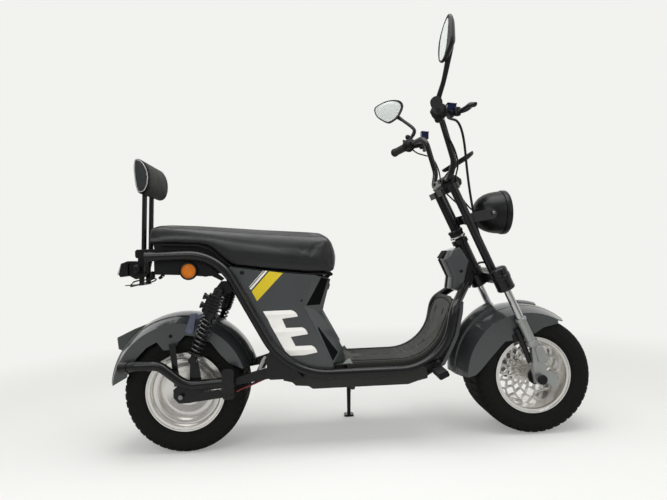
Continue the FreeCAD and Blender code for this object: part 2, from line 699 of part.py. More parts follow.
def fork_tube():
    return rod(at_head(-20, FORK_OFF, -FORK_Y), at_head(376, FORK_OFF, -FORK_Y), FORK_R)


def stanchion():
    return rod(at_head(22, FORK_OFF, -LEG_Y), at_head(-172, FORK_OFF, -LEG_Y), STANCHION_R)


def slider():
    """Cast fork lower: seal collar, barrel, foot clamp, guard plate, axle end and caliper lug."""
    def leg(s):
        return at_head(s, FORK_OFF, -LEG_Y)
    outer = -LEG_Y - 12
    end = plate([(1246, 345), (1281, 336), (1297, 262), (1299, 222), (1291, 200), (1275, 193), (1259, 200),
                 (1253, 232)], outer, -LEG_Y + 12, AHEAD)
    lug = plate([(1290, 240), (1316, 241), (1335, 227), (1344, 195), (1334, 185), (1320, 181), (1308, 198),
                 (1288, 200)], -LEG_Y - 8, -LEG_Y + 6, AHEAD)
    guard = plate(blunt([(1258, 330), (1284, 334), (1305, 289), (1303, 279), (1270, 278)], 3),
                  outer - 5, outer, AHEAD)
    body = fused(rod(leg(-168), leg(-272), SLIDER_R), rod(leg(-168), leg(-178), SLIDER_R + 3),
                 rod(leg(-258), leg(-274), SLIDER_R + 5), end, lug, guard)
    body = body.cut(rod(leg(-150), leg(-182), STANCHION_R + GAP))
    return body.cut(rod(FRONT - ACROSS * 200, FRONT + ACROSS * 200, AXLE_R + GAP))


def fender_stay():
    """Black leg behind the slider that carries the front mudguard."""
    top, foot = at(1205, -ARCH_Y - 9, 396, AHEAD), at(1250, -ARCH_Y - 9, 272, AHEAD)
    body = rod(top, foot, 10).fuse(plate([(1190, 372), (1204, 378), (1212, 350), (1196, 346)],
                                         -ARCH_Y - 6, -ARCH_Y - GAP, AHEAD))
    clip = plate([(1236, 300), (1262, 306), (1266, 290), (1240, 284)], -ARCH_Y - 16, -ARCH_Y - 4, AHEAD)
    shell = rod(FRONT - ACROSS * (ARCH_Y + GAP), FRONT + ACROSS * (ARCH_Y + GAP), TYRE_R + 60)
    return body.fuse(clip).cut(shell).cut(slider_room())


def slider_room():
    """Space that the right slider takes up, with the clearance of a bolted joint."""
    leg = rod(at_head(-165, FORK_OFF, -LEG_Y), at_head(-256, FORK_OFF, -LEG_Y), SLIDER_R + GAP)
    collar = rod(at_head(-165, FORK_OFF, -LEG_Y), at_head(-178 - GAP, FORK_OFF, -LEG_Y), SLIDER_R + 3 + GAP)
    foot = rod(at_head(-256, FORK_OFF, -LEG_Y), at_head(-276, FORK_OFF, -LEG_Y), SLIDER_R + 5 + GAP)
    end = box(1246 - GAP, 1320, -LEG_Y - 20, -LEG_Y + 12 + GAP, 190, 345, AHEAD)
    return fused(leg, collar, foot, end)


def front_axle():
    """Axle with a spacer at each side of the hub and a nut outside each slider."""
    body = rod(FRONT - ACROSS * (LEG_Y + 14), FRONT + ACROSS * (LEG_Y + 14), AXLE_R)
    for side, hub in ((-1, TYRE_HALF), (1, TYRE_HALF + 7)):
        inner = FRONT + ACROSS * side * (hub + 2.5)
        body = body.fuse(rod(inner, FRONT + ACROSS * side * (LEG_Y - 12 - GAP), 18))
        nut = FRONT + ACROSS * side * (LEG_Y + 12 + GAP)
        body = body.fuse(rod(nut, nut + ACROSS * side * 11, 12.6))
    return body


def front_fender():
    """Front mudguard: low shell with a pointed front, a raised ridge behind and an air scoop."""
    low = FRONT + V(-24, 0, 4)
    crown = TYRE_R + 39
    shell = arch(arch_face(low, ARCH_Y, crown, crown - 26, TYRE_R - 97, 60, 2), low, 36, 183)
    high = FRONT + V(-26, 0, 18)
    ridge = arch(arch_face(high, 44, crown + 10, crown - 1, crown - 16, 30, 1), high, 112, 181)
    scoop = arch(arch_face(low, 26, crown + 10, crown + 3, crown - 8, 16, 1), low, 73, 88)
    cut = [(1500, 414), (1406, 414), (1369, 408), (1308, 395), (1278, 376), (1200, 352), (1164, 350),
           (1113, 297), (1071, 251), (1050, 232), (1010, 223), (900, 223), (900, 0), (1500, 0)]
    plan = [(900, -140), (1340, -140), (1395, -96), (1440, -34), (1446, 0), (1440, 34), (1395, 96),
            (1340, 140), (900, 140)]
    plan = face_of([at(x, y * ARCH_Y / 122, 200, AHEAD) for x, y in plan]).extrude(V(0, 0, 400))
    shell = shell.cut(plate(cut, -200, 200, AHEAD)).common(plan)
    return fused(shell, ridge, scoop)


def bar_path():
    """Right half of the handlebar: clamp, riser and grip."""
    return [V(BAR_X, 0, BAR_Z), V(BAR_X, -118, BAR_Z), V(BAR_X + 14, -132, BAR_Z + 59),
            V(BAR_X - 26, -133, BAR_Z + 211), V(BAR_X - 109, -380, BAR_Z + 200)]


def handlebar():
    right = tube(bar_path(), [24, 60, 42], BAR_R)
    return right.fuse(mirrored(right))


def along_bar(d):
    """Point on the right bar, d in from its end."""
    inner, end = bar_path()[3:]
    return end + (inner - end).normalize() * d


def grip():
    """Rubber grip with a raised ring at its end and a flange at its inner end."""
    body = fused(rod(along_bar(-3), along_bar(118), 17), rod(along_bar(-4), along_bar(4), 19),
                 rod(along_bar(110), along_bar(118), 20.5))
    return body.cut(rod(along_bar(0), along_bar(130), BAR_R + GAP))


def controls():
    """Switch housing, master cylinder and the brake lever that swings ahead of the grip."""
    hold = along_bar(142)
    body = fused(ring(along_bar(120), along_bar(134), FLANGE_R, BAR_R + GAP),
                 ring(along_bar(134), along_bar(158), 19, BAR_R + GAP),
                 rod(hold + V(17, 0, 2), hold + V(44, 0, -4), 8))
    cylinder = rod(hold + CYLINDER[0], hold + CYLINDER[1], 11)
    pivot = hold + V(58, -20, -3)
    lever = tube([pivot, hold + V(88, -44, -4), hold + V(96, -118, 0)], [18], 5)
    knob = rod(hold + V(96, -116, 0), hold + V(97, -126, 0), 7)
    boss = rod(pivot - V(0, 0, 9), pivot + V(0, 0, 9), 8)
    return fused(body, cylinder, boss, lever, knob)


def fluid_cup():
    """Brake fluid reservoir: a small block with a lid on top of the master cylinder."""
    foot = along_bar(142) + V(44, 4, 8)
    cup = Part.makeBox(32, 30, 26, foot + V(-16, -15, 0))
    corners = [edge for edge in cup.Edges if abs(edge.Vertexes[0].X - edge.Vertexes[1].X) < 1
               and abs(edge.Vertexes[0].Y - edge.Vertexes[1].Y) < 1]
    cup = cup.makeFillet(6, corners)
    lid = rod(foot + V(0, 0, 25), foot + V(0, 0, 29), 12)
    return cup.fuse(lid)


def lamp_profile():
    """Outside of the round lamp from its back to the rim, as (along, radius)."""
    return [(0, 0), (0, 30), (22, 62), (60, 80), (103, 82.5), (104, 85.5), (122, 85.5), (126, 80)]


def lamp_body(grow=0.0):
    """Space that the lamp takes up, turned about its own axis."""
    back = at_head(233) + V(85, 0, 42)
    profile = [(s - (grow if s == 0 else 0), r + (grow if r else 0)) for s, r in lamp_profile()]
    return turned(profile + [(126, 0)], back, V(1, 0, 0), V(0, 0, 1))


def headlight():
    """Bucket of the headlight with its rim, hollowed out as the reflector."""
    back = at_head(233) + V(85, 0, 42)
    bowl = turned([(66, 0), (72, 34), (92, 62), (117, 74), (117, 77), (127, 77), (127, 0)], back,
                  V(1, 0, 0), V(0, 0, 1))
    return lamp_body().cut(bowl)


def headlight_lens():
    """Domed glass of the headlight."""
    back = at_head(233) + V(85, 0, 42)
    return turned([(117.3, 0), (117.3, 76.7), (122, 76.7), (127, 60), (131, 32), (132, 0)], back,
                  V(1, 0, 0), V(0, 0, 1))


def lamp_bracket():
    """Clamps on both upper fork tubes with an arm each to the side of the lamp."""
    half = rod(at_head(218, FORK_OFF, -FORK_Y), at_head(246, FORK_OFF, -FORK_Y), 20)
    arm = plate([(1050, 822), (1141, 841), (1158, 836), (1165, 822), (1160, 808), (1150, 801), (1054, 788)],
                -FORK_Y - 4, 2 - FORK_Y, AHEAD)
    bolt = rod(at(1150, -FORK_Y - 8, 824, AHEAD), at(1150, -60, 824, AHEAD), 9)
    half = fused(half, arm, bolt)
    body = half.fuse(mirrored(half)).cut(lamp_body(GAP))
    for y in (-FORK_Y, FORK_Y):
        body = body.cut(rod(at_head(180, FORK_OFF, y), at_head(280, FORK_OFF, y), FORK_R + GAP))
    return body


def display():
    """Round instrument with a bezel on its stalk, tilted towards the rider."""
    bar = V(BAR_X, 0, BAR_Z)
    p = bar + V(69, 0, 79)
    n = V(-0.5, 0, 0.866)
    out = V(0.866, 0, 0.5)
    case = turned([(-11, 0), (-11, 40), (-6, 62), (0, 68), (7, 68), (8.5, 66), (8.5, 61), (6.5, 60), (6.5, 0)],
                  p, n, out)
    body = case.fuse(rod(bar, p, 8)).fuse(rod(bar - ACROSS * 16, bar + ACROSS * 16, BAR_R + 6))
    return body.cut(rod(bar - ACROSS * 20, bar + ACROSS * 20, BAR_R + GAP))


def mirror_right():
    """Right mirror, seen nearly edge-on: ball joint, stem and a slim housing."""
    foot = along_bar(127) + V(-2, 0, 22)
    knee = V(BAR_X - 71, -262, BAR_Z + 251)
    body = tube([foot, knee, V(BAR_X - 38, -332, BAR_Z + 399)], [12], 5)
    body = body.fuse(Part.makeSphere(9, foot + (knee - foot) * 0.4))
    outline = [(BAR_X - 40, 506), (BAR_X - 30, 446), (BAR_X - 34, 391), (BAR_X - 54, 352),
               (BAR_X - 79, 347), (BAR_X - 82, 424)]
    wires = []
    for y, d in ((-388, 14), (-374, 3), (-340, 0), (-308, 3), (-294, 14)):
        points = [V(x, y, BAR_Z + z) for x, z in inset(outline, d)]
        wires.append(Part.makePolygon(points + points[:1]))
    return body.fuse(Part.makeLoft(wires, True, True)).cut(flange_room())


def flange_room():
    """Space of the right switch housing, which the mirror's stem stands on."""
    return rod(along_bar(118), along_bar(160), FLANGE_R + GAP)


def mirror_left():
    """Left mirror, turned so that its face looks back across the seat."""
    base = along_bar(127)
    foot = V(base.x - 2, -base.y, base.z + 22)
    knee = V(BAR_X - 44, 262, BAR_Z + 277)
    body = tube([foot, knee, V(BAR_X - 104, 326, BAR_Z + 352)], [12], 5)
    body = body.fuse(Part.makeSphere(9, foot + (knee - foot) * 0.4))
    wires = []
    for y, d in ((320, 0), (332, 0), (344, 12)):
        points = [V(x, y, z) for x, z in inset(left_glass_outline(), d)]
        wires.append(Part.makePolygon(points + points[:1]))
    shell = Part.makeLoft(wires, True, True)
    glass = [V(x, 319, z) for x, z in inset(left_glass_outline(), 6)]
    return body.fuse(shell.cut(face_of(glass).extrude(ACROSS * 4))).cut(mirrored(flange_room()))


def left_glass_outline():
    return [(BAR_X - 192, BAR_Z + 395), (BAR_X - 128, BAR_Z + 423), (BAR_X - 84, BAR_Z + 403),
            (BAR_X - 78, BAR_Z + 365), (BAR_X - 136, BAR_Z + 329), (BAR_X - 187, BAR_Z + 364)]


def mirror_glass():
    """Glass of the left mirror."""
    points = [V(x, 320.5, z) for x, z in inset(left_glass_outline(), 6 + GAP)]
    return face_of(points).extrude(ACROSS * (2.5 - GAP))


def brake_hose():
    """Front brake hose: down behind the headlight, over the lower clamp, down the left leg."""
    outlet = along_bar(142) + CYLINDER[1]
    run = (CYLINDER[1] - CYLINDER[0]).normalize()
    points = [outlet + run * GAP, outlet + run * 28, V(BAR_X + 52, -130, BAR_Z + 205),
              V(BAR_X + 86, -60, BAR_Z - 20), at_head(150, 52, -60), at_head(40, 66, -60),
              at_head(38, 68, LEG_Y + 42), at_head(-60, 56, LEG_Y + 42), at_head(-110, 48, LEG_Y + 28),
              at_head(-215, 68, LEG_Y + 20), at_head(-288, 82, LEG_Y - 5),
              round_axle(FRONT, DISC_R + 14, 41, TYRE_HALF + 8)]
    hose = tube(points, [18, 30, 40, 60, 16, 16, 24, 30, 40, 30], 4.5)
    return hose.cut(caliper_block(FRONT, 20, 58, LEG_Y - 11, GAP))


# Seat

def seat_outline():
    return [(-97, 758), (-97, 794), (-81, 812), (-35, 815), (157, 801), (301, 786), (446, 773),
            (526, 765), (551, 743), (556, 691), (550, 640), (524, 624), (440, 629), (296, 646),
            (188, 663), (153, 688), (112, 726), (69, 742), (-58, 749)]


def seat_cushion():
    half = PANEL_Y - 0.7
    return pillow(seat_outline(), [(-half, 24), (10 - half, 8), (33 - half, 0), (half - 33, 0),
                                   (half - 10, 8), (half, 24)])


def backrest_cushion():
    outline = [(-156, 1060), (-118, 1056), (-92, 1010), (-92, 962), (-112, 928), (-146, 926)]
    body = pillow(outline, [(-128, 14), (-112, 3), (-80, 0), (80, 0), (112, 3), (128, 14)])
    return body.cut(backrest_posts(9 + GAP))


def seat_base():
    """Stiff plate under the cushion, with the two knuckles that turn on the hinge's pin."""
    top = [(-58, 748.5), (69, 741.5), (112, 725.5), (153, 687.5), (188, 662.5), (296, 645.5), (440, 628.5),
           (518, 623.6)]
    low = [(x, z - 4.4) for x, z in top]
    body = plate(top + low[::-1], -PANEL_Y, PANEL_Y)
    for y in (-51, 51):
        tab = plate([(514, 623.8), (541, 623.8), (541, 612), (534, 619.4), (514, 619.4)], y - 12, y + 12)
        body = fused(body, tab, rod(HINGE + ACROSS * (y - 12), HINGE + ACROSS * (y + 12), 6))
    return body.cut(rod(HINGE - ACROSS * 80, HINGE + ACROSS * 80, 3 + RUN))


# Stand and pegs

def stand_axes():
    """Hinge point, the way the leg points when down, and the hinge axis."""
    tilt = math.radians(20)
    return at(605, BELLY_Y + 22, 216), V(0, math.sin(tilt), -math.cos(tilt)), V(0, math.cos(tilt), math.sin(tilt))


def side_stand():
    """Prop leg with its foot and the stub that the rider's heel pushes."""
    pivot, out, axis = stand_axes()
    length = (pivot.z - 8) / -out.z
    leg = cone(pivot, pivot + out * length, 9, 7.5)
    foot = Part.makeBox(40, 36, 8, V(585, pivot.y + out.y * length - 8, 0))
    foot = foot.makeFillet(7, [e for e in foot.Edges if abs(e.Vertexes[0].Z - e.Vertexes[1].Z) > 7])
    heel = rod(pivot + out * 120, pivot + out * 126 + axis * 34 + V(8, 0, 0), 5)
    body = fused(rod(pivot - axis * 7, pivot + axis * 7, 14), leg, foot, heel)
    return body.cut(rod(pivot - axis * 20, pivot + axis * 20, 5 + RUN))


def foot_peg():
    """Folding peg on the front bend: bracket, knuckle and ribbed rubber block."""
    y = -TUBE_Y - TUBE_R
    bracket = plate([(851, 287), (888, 300), (912, 297), (906, 276), (873, 268)], y - 8, y + 6, NOSE)
    knuckle = rod(at(893, y - 4, 283, NOSE), at(893, y - 24, 283, NOSE), 9)
    block = plate(blunt([(872, 278), (906, 293), (914, 274), (880, 259)], 4), y - 104, y - 16, NOSE)
    for k in range(6):
        groove = plate([(866, 282), (908, 300), (909, 296), (867, 278)], y - 96 + 13 * k, y - 91 + 13 * k, NOSE)
        block = block.cut(groove)
    return fused(bracket, knuckle, block).cut(tube_room())


def build():
    os.makedirs("parts", exist_ok=True)
    pair("frame_tubes", frame_tube())
    save("neck", neck())
    save("deck_pan", deck_pan())
    save("deck_cross", *deck_cross())
    save("floor_mat", floor_mat())
    save("belly_pan", belly_pan())
    save("apron", apron())
    save("head_cover", head_cover())
    pair("seat_box_sides", seat_box_side())
    pair("side_fins", side_fins())
    save("seat_box_front", seat_box_front())
    save("seat_box_rear", seat_box_rear())
    save("battery_block", box(372, 490, -90, 90, 299 + GAP, 520))
    save("tail_panel", tail_panel())
    pair("side_reflectors", side_reflector())
    save("rear_fender", rear_fender())
    save("swing_arm", swing_arm())
    pair("bumpers", bumper())
    pair("shocks", shock())
    pair("shock_springs", shock_spring())
    pair("shock_reservoirs", reservoir())
    save("rear_axle", rod(REAR - ACROSS * (ARM_Y + 30), REAR + ACROSS * (ARM_Y + 30), AXLE_R))
    save("backrest_frame", backrest_frame())
    save("backrest_cushion", backrest_cushion())
    save("tail_light", tail_light())
    save("tail_lens", tail_lens())
    pair("foot_pegs", foot_peg())
    save("rear_tyre", tyre(REAR))
    save("rear_rim", rear_rim())
    save("rear_disc", brake_disc(REAR))
    save("front_tyre", tyre(FRONT))
    save("front_rim", front_rim())
    save("front_disc", brake_disc(FRONT))
    save("front_axle", front_axle())
    save("stem", stem())
    save("lower_clamp", lower_clamp())
    save("upper_clamp", upper_clamp())
    pair("fork_tubes", fork_tube())
    pair("stanchions", stanchion())
    save("fork_sliders", slider(), mirrored(slider()).fuse(caliper(FRONT, 20, 58, LEG_Y - 11)))
    pair("fender_stays", fender_stay())
    save("front_fender", front_fender())
    save("handlebar", handlebar())
    pair("grips", grip())
    pair("controls", controls())
    pair("fluid_cups", fluid_cup())
    save("headlight", headlight())
    save("headlight_lens", headlight_lens())
    save("lamp_bracket", lamp_bracket())
    save("display", display())
    save("mirrors", mirror_right(), mirror_left())
    save("mirror_glass", mirror_glass())
    save("brake_hose", brake_hose())
    save("seat_cushion", seat_cushion())
    save("seat_base", seat_base())
    save("side_stand", side_stand())


build()
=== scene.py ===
# %% [markdown]
# # A fat-tyred electric scooter, dressed for its portrait
#
# The solids of this scooter were drawn in CAD and packed as one frame.  Here each of them gets the
# finish of the real thing, and what is soft, woven, sewn or repeated is modelled in Blender.
#
# Every cell can be run on its own after those above it.  Lengths are written in millimetres from
# the rear axle, because that is how one measures a two-wheeler, and are turned to metres once.

# %% Open the frame
import math

import bmesh
import bpy
from mathutils import Matrix, Vector
from mathutils.bvhtree import BVHTree


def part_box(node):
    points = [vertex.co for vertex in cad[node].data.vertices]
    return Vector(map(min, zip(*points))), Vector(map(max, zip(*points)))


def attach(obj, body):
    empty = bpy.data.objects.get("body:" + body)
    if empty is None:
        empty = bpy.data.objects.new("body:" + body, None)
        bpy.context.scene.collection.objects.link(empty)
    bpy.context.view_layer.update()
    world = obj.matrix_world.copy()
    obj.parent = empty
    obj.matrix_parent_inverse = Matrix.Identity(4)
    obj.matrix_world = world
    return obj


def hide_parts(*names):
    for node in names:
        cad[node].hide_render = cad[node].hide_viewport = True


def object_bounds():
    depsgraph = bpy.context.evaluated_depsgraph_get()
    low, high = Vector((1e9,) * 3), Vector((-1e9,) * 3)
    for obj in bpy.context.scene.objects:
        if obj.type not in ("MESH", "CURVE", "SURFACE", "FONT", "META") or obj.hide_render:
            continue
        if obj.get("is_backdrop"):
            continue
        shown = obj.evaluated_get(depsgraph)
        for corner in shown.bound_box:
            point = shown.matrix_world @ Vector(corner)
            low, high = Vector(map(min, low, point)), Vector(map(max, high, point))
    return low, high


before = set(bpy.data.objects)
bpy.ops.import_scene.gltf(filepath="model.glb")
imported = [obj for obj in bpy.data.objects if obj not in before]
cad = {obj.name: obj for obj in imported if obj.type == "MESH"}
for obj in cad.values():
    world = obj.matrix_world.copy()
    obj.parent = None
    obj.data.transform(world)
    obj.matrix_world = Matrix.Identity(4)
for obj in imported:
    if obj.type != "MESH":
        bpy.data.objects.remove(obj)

cad_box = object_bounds()
MM = 0.001
low, high = (Vector(corner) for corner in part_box("rear_tyre"))
REAR_AXLE = (low + high) / 2
low, high = (Vector(corner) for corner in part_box("front_tyre"))
FRONT_AXLE = (low + high) / 2
ACROSS = Vector((0, 1, 0))
SIDES = (-1, 1)         # right and left


def spot(x, y, z):
    """Point x ahead of the rear axle, y to the rider's left and z above the floor, in mm."""
    return Vector((REAR_AXLE.x + x * MM, y * MM, z * MM))


def placed(name, data):
    """Put a mesh, a curve, a lamp or a camera into the scene as an object."""
    made = bpy.data.objects.new(name, data)
    bpy.context.scene.collection.objects.link(made)
    return made


def frozen(made):
    """Mesh of an object as it stands, with its modifiers applied."""
    return bpy.data.meshes.new_from_object(made.evaluated_get(bpy.context.evaluated_depsgraph_get()))


print("nodes:", len(cad), "wheelbase:", round((FRONT_AXLE - REAR_AXLE).length, 3), "m")

# %% [markdown]
# ## Camera
#
# The photographer stood on the scooter's right, a little behind its middle and a hand lower than
# the handlebar.  Lens, place and tilt were worked out from the two wheels, whose true size is
# known, so they are written here as real numbers and nothing is framed by eye.

# %% Place the camera
YAW, PITCH, ROLL = 0.04802, 0.01001, -0.03701
EYE = (462.6, -1919, 688.8)     # mm
SENSOR = 36                     # mm
look = Vector((math.sin(YAW) * math.cos(PITCH), math.cos(YAW) * math.cos(PITCH), math.sin(PITCH)))
level = Vector((math.cos(YAW), -math.sin(YAW), 0))
plumb = level.cross(look)
right = level * math.cos(ROLL) + plumb * math.sin(ROLL)
up = plumb * math.cos(ROLL) - level * math.sin(ROLL)
lens = bpy.data.cameras.new("photographer")
lens.sensor_width = SENSOR
lens.lens = 500 / 667 * SENSOR
camera = placed("photographer", lens)
camera.matrix_world = Matrix((right, up, -look)).transposed().to_4x4()
camera.location = spot(*EYE)
bpy.context.scene.camera = camera
bpy.context.scene.view_settings.view_transform = "Standard"
print("camera at", [round(c, 3) for c in camera.location], "lens", round(lens.lens, 2), "mm")

# %% [markdown]
# ## Colours and nodes
#
# Paint is chosen as it looks on a screen, so colours are written as sRGB hex values.  Shaders
# count in linear light, and one function turns the one into the other.  A second small function
# adds a node with its settings and its links, which keeps the recipes below short.

# %% Two helpers for materials
def colour(code):
    """Linear colour of an sRGB hex value."""
    parts = [int(code[i:i + 2], 16) / 255 for i in (1, 3, 5)]
    return [c / 12.92 if c <= 0.04045 else ((c + 0.055) / 1.055) ** 2.4 for c in parts] + [1.0]


def add(tree, kind, inputs=None, **settings):
    """Add a node; inputs maps its sockets to values or to the outputs that feed them."""
    made = tree.nodes.new(kind)
    for name, value in settings.items():
        setattr(made, name, value)
    for socket, value in (inputs or {}).items():
        if isinstance(value, bpy.types.NodeSocket):
            tree.links.new(value, made.inputs[socket])
        else:
            made.inputs[socket].default_value = value
    return made


print("bright yellow is", [round(c, 3) for c in colour("#d8bf22")])

# %% [markdown]
# ## Studio
#
# The photograph was taken on a seamless white sweep.  A wide floor does the same job: near the
# scooter it is a plain matt surface that takes the shadow, and further out it fades into the
# colour of the world, so that no horizon shows.  The world lights everything evenly, and three
# large soft lamps draw the long highlights on paint and leather.  Behind the photographer the room
# is dimmer than the sweep, and polished metal would look like chalk if it mirrored white from every
# side, so rays that leave a glossy surface find the world darker on that side, and the floor
# darker too.

# %% Floor
SWEEP = "#f2f2ef"           # colour of the world, into which the floor fades
FADE = (1.3, 3.0)           # metres from the scooter where the fading starts and ends
NEAR_GLOW = 0.3             # share of the sweep in the floor under the scooter
SHINE_LOSS = 0.36           # part of the floor's light that a glossy surface misses


def studio_floor():
    """Matt floor that fades into the background away from the scooter."""
    made = bpy.data.materials.new("matt white sweep")
    made.use_nodes = True
    tree = made.node_tree
    tree.nodes.clear()
    place = add(tree, "ShaderNodeTexCoord").outputs["Object"]
    far = add(tree, "ShaderNodeVectorMath", {0: place}, operation="LENGTH").outputs["Value"]
    fade = add(tree, "ShaderNodeMapRange", {"Value": far, "From Min": FADE[0], "From Max": FADE[1],
                                            "To Min": NEAR_GLOW}, interpolation_type="SMOOTHSTEP").outputs["Result"]
    seen = add(tree, "ShaderNodeLightPath").outputs["Is Camera Ray"]
    both = add(tree, "ShaderNodeMath", {0: fade, 1: seen}, operation="MULTIPLY").outputs["Value"]
    matt = add(tree, "ShaderNodeBsdfDiffuse", {"Color": colour("#fbfbf9")}).outputs["BSDF"]
    glow = add(tree, "ShaderNodeEmission", {"Color": colour(SWEEP)}).outputs["Emission"]
    mixed = add(tree, "ShaderNodeMixShader", {0: both, 1: matt, 2: glow}).outputs["Shader"]
    glossy = add(tree, "ShaderNodeLightPath").outputs["Is Glossy Ray"]
    dimmer = add(tree, "ShaderNodeMath", {0: glossy, 1: SHINE_LOSS}, operation="MULTIPLY").outputs["Value"]
    dark = add(tree, "ShaderNodeBsdfDiffuse", {"Color": colour("#000000")}).outputs["BSDF"]
    mixed = add(tree, "ShaderNodeMixShader", {0: dimmer, 1: mixed, 2: dark}).outputs["Shader"]
    add(tree, "ShaderNodeOutputMaterial", {"Surface": mixed})
    return made


FLOOR_R = 30.0              # m
FLOOR_Z = -0.0005           # half a millimetre under the tyres
rim = [(FLOOR_R * math.cos(a), FLOOR_R * math.sin(a), FLOOR_Z) for a in (2 * math.pi * k / 64 for k in range(64))]
mesh = bpy.data.meshes.new("studio_floor")
mesh.from_pydata(rim, [], [list(range(64))])
mesh.materials.append(studio_floor())
floor = placed("studio_floor", mesh)
floor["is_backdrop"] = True

# %% World
WINDOW = (0.1, 0.62, 0.55)  # the room is brightest towards this side
ROOM = (-0.45, 0.5)         # range over which it brightens, from behind the photographer to the sweep
DIMMEST = 0.26              # its strength behind the photographer, in a glossy surface
SOFT_LIGHT = 0.5            # its strength on matt surfaces
world = bpy.data.worlds.new("studio")
world.use_nodes = True
bpy.context.scene.world = world
tree = world.node_tree
tree.nodes.clear()
path = add(tree, "ShaderNodeLightPath").outputs
direct = add(tree, "ShaderNodeMath", {0: path["Is Camera Ray"], 1: path["Is Transmission Ray"]},
             operation="MAXIMUM").outputs["Value"]
way = add(tree, "ShaderNodeTexCoord").outputs["Generated"]
toward = add(tree, "ShaderNodeVectorMath", {0: way, 1: WINDOW},
             operation="DOT_PRODUCT").outputs["Value"]
dim = add(tree, "ShaderNodeMapRange", {"Value": toward, "From Min": ROOM[0], "From Max": ROOM[1],
                                       "To Min": DIMMEST, "To Max": 1.0},
          interpolation_type="SMOOTHSTEP").outputs["Result"]
even = add(tree, "ShaderNodeMath", {0: 1.0, 1: path["Is Glossy Ray"]}, operation="SUBTRACT").outputs["Value"]
matt = add(tree, "ShaderNodeMath", {0: even, 1: SOFT_LIGHT}, operation="MULTIPLY").outputs["Value"]
power = add(tree, "ShaderNodeMath", {0: path["Is Glossy Ray"], 1: dim}, operation="MULTIPLY").outputs["Value"]
power = add(tree, "ShaderNodeMath", {0: power, 1: matt}, operation="ADD").outputs["Value"]
power = add(tree, "ShaderNodeMath", {0: power, 1: direct}, operation="MAXIMUM").outputs["Value"]
sky = add(tree, "ShaderNodeBackground", {"Color": colour(SWEEP), "Strength": power})
add(tree, "ShaderNodeOutputWorld", {"Surface": sky.outputs["Background"]})

# %% Lamps
MIDDLE_OF_IT = spot(600, 0, 450)
lamps = [
    # name, place in mm, size in m, watts
    ("overhead", (560, -350, 2500), (2.6, 1.5), 42),
    ("key", (-900, -2300, 2100), (1.9, 1.4), 17),
    ("fill", (2300, -2100, 1500), (1.4, 1.4), 7),
]
for name, place, size, watts in lamps:
    lamp = bpy.data.lights.new(name, "AREA")
    lamp.shape = "RECTANGLE"
    lamp.size, lamp.size_y = size
    lamp.energy = watts
    box = placed(name, lamp)
    box.location = spot(*place)
    box.rotation_euler = (MIDDLE_OF_IT - box.location).to_track_quat("-Z", "Y").to_euler()
print("lamps:", [name for name, *_ in lamps])

# %% [markdown]
# ## Finishes
#
# Most finishes share a build: a base colour that drifts a little across the piece, a roughness
# that drifts with it, and a fine grain in the surface.  What differs is the size of each, so one
# function takes them in millimetres.  No real surface is one flat colour, and this drift is what
# keeps a big black panel from looking like a hole.

# %% One recipe with sizes in millimetres
def finish(name, shade, metal=0.0, rough=0.5, drift=(70, 0.12), grain=None, edge=0.0, **sockets):
    """Material with drifting colour; drift is (size mm, amount), grain is (size mm, depth mm).
    An edge radius in mm rounds sharp corners in the light, as paint and moulding tools do."""
    made = bpy.data.materials.new(name)
    made.use_nodes = True
    tree = made.node_tree
    shader = tree.nodes["Principled BSDF"]
    place = add(tree, "ShaderNodeTexCoord").outputs["Object"]
    cloud = add(tree, "ShaderNodeTexNoise", {"Vector": place, "Scale": 1000 / drift[0], "Detail": 4.0})
    base = colour(shade)
    dark = [c * (1 - drift[1]) for c in base[:3]] + [1.0]
    pale = [min(1.0, c * (1 + drift[1]) + 0.002) for c in base[:3]] + [1.0]
    tint = add(tree, "ShaderNodeMix", {0: cloud.outputs["Fac"], 6: dark, 7: pale}, data_type="RGBA")
    tree.links.new(tint.outputs[2], shader.inputs["Base Color"])
    worn = add(tree, "ShaderNodeMapRange", {"Value": cloud.outputs["Fac"], "From Min": 0.3, "From Max": 0.7,
                                            "To Min": rough * 0.85, "To Max": min(1.0, rough * 1.15)})
    tree.links.new(worn.outputs["Result"], shader.inputs["Roughness"])
    shader.inputs["Metallic"].default_value = metal
    normal = None
    if edge:
        normal = add(tree, "ShaderNodeBevel", {"Radius": edge * MM}, samples=6).outputs["Normal"]
    if grain:
        fine = add(tree, "ShaderNodeTexNoise", {"Vector": place, "Scale": 1000 / grain[0], "Detail": 2.0})
        bump = add(tree, "ShaderNodeBump", {"Height": fine.outputs["Fac"], "Distance": grain[1] * MM,
                                            "Strength": 1.0})
        if normal:
            tree.links.new(normal, bump.inputs["Normal"])
        normal = bump.outputs["Normal"]
    if normal:
        tree.links.new(normal, shader.inputs["Normal"])
    for socket, value in sockets.items():
        shader.inputs[socket.replace("_", " ")].default_value = value
    return made


# %% [markdown]
# Black paint on the tubes is a baked powder coat: glossy, with the faint orange peel that powder
# leaves as it flows.  The panels are ABS sprayed with a metallic slate lacquer under a clear coat.
# Aluminium flake is far finer than a pixel, so it is drawn at about a millimetre to show at all.

# %% Paints
black_paint = finish("black powder coat", "#0d0e0f", rough=0.27, drift=(90, 0.2), grain=(3.5, 0.03), edge=1.6,
                     Coat_Weight=0.2, Coat_Roughness=0.08, Specular_IOR_Level=0.28)
satin_paint = finish("satin black paint", "#101112", rough=0.36, drift=(60, 0.2), grain=(1.2, 0.03), edge=1.4,
                     Specular_IOR_Level=0.26)
belly_grey = finish("grey moulded polypropylene", "#2c2d2a", rough=0.5, drift=(120, 0.15), grain=(1.5, 0.06),
                    edge=2.0, Specular_IOR_Level=0.35)


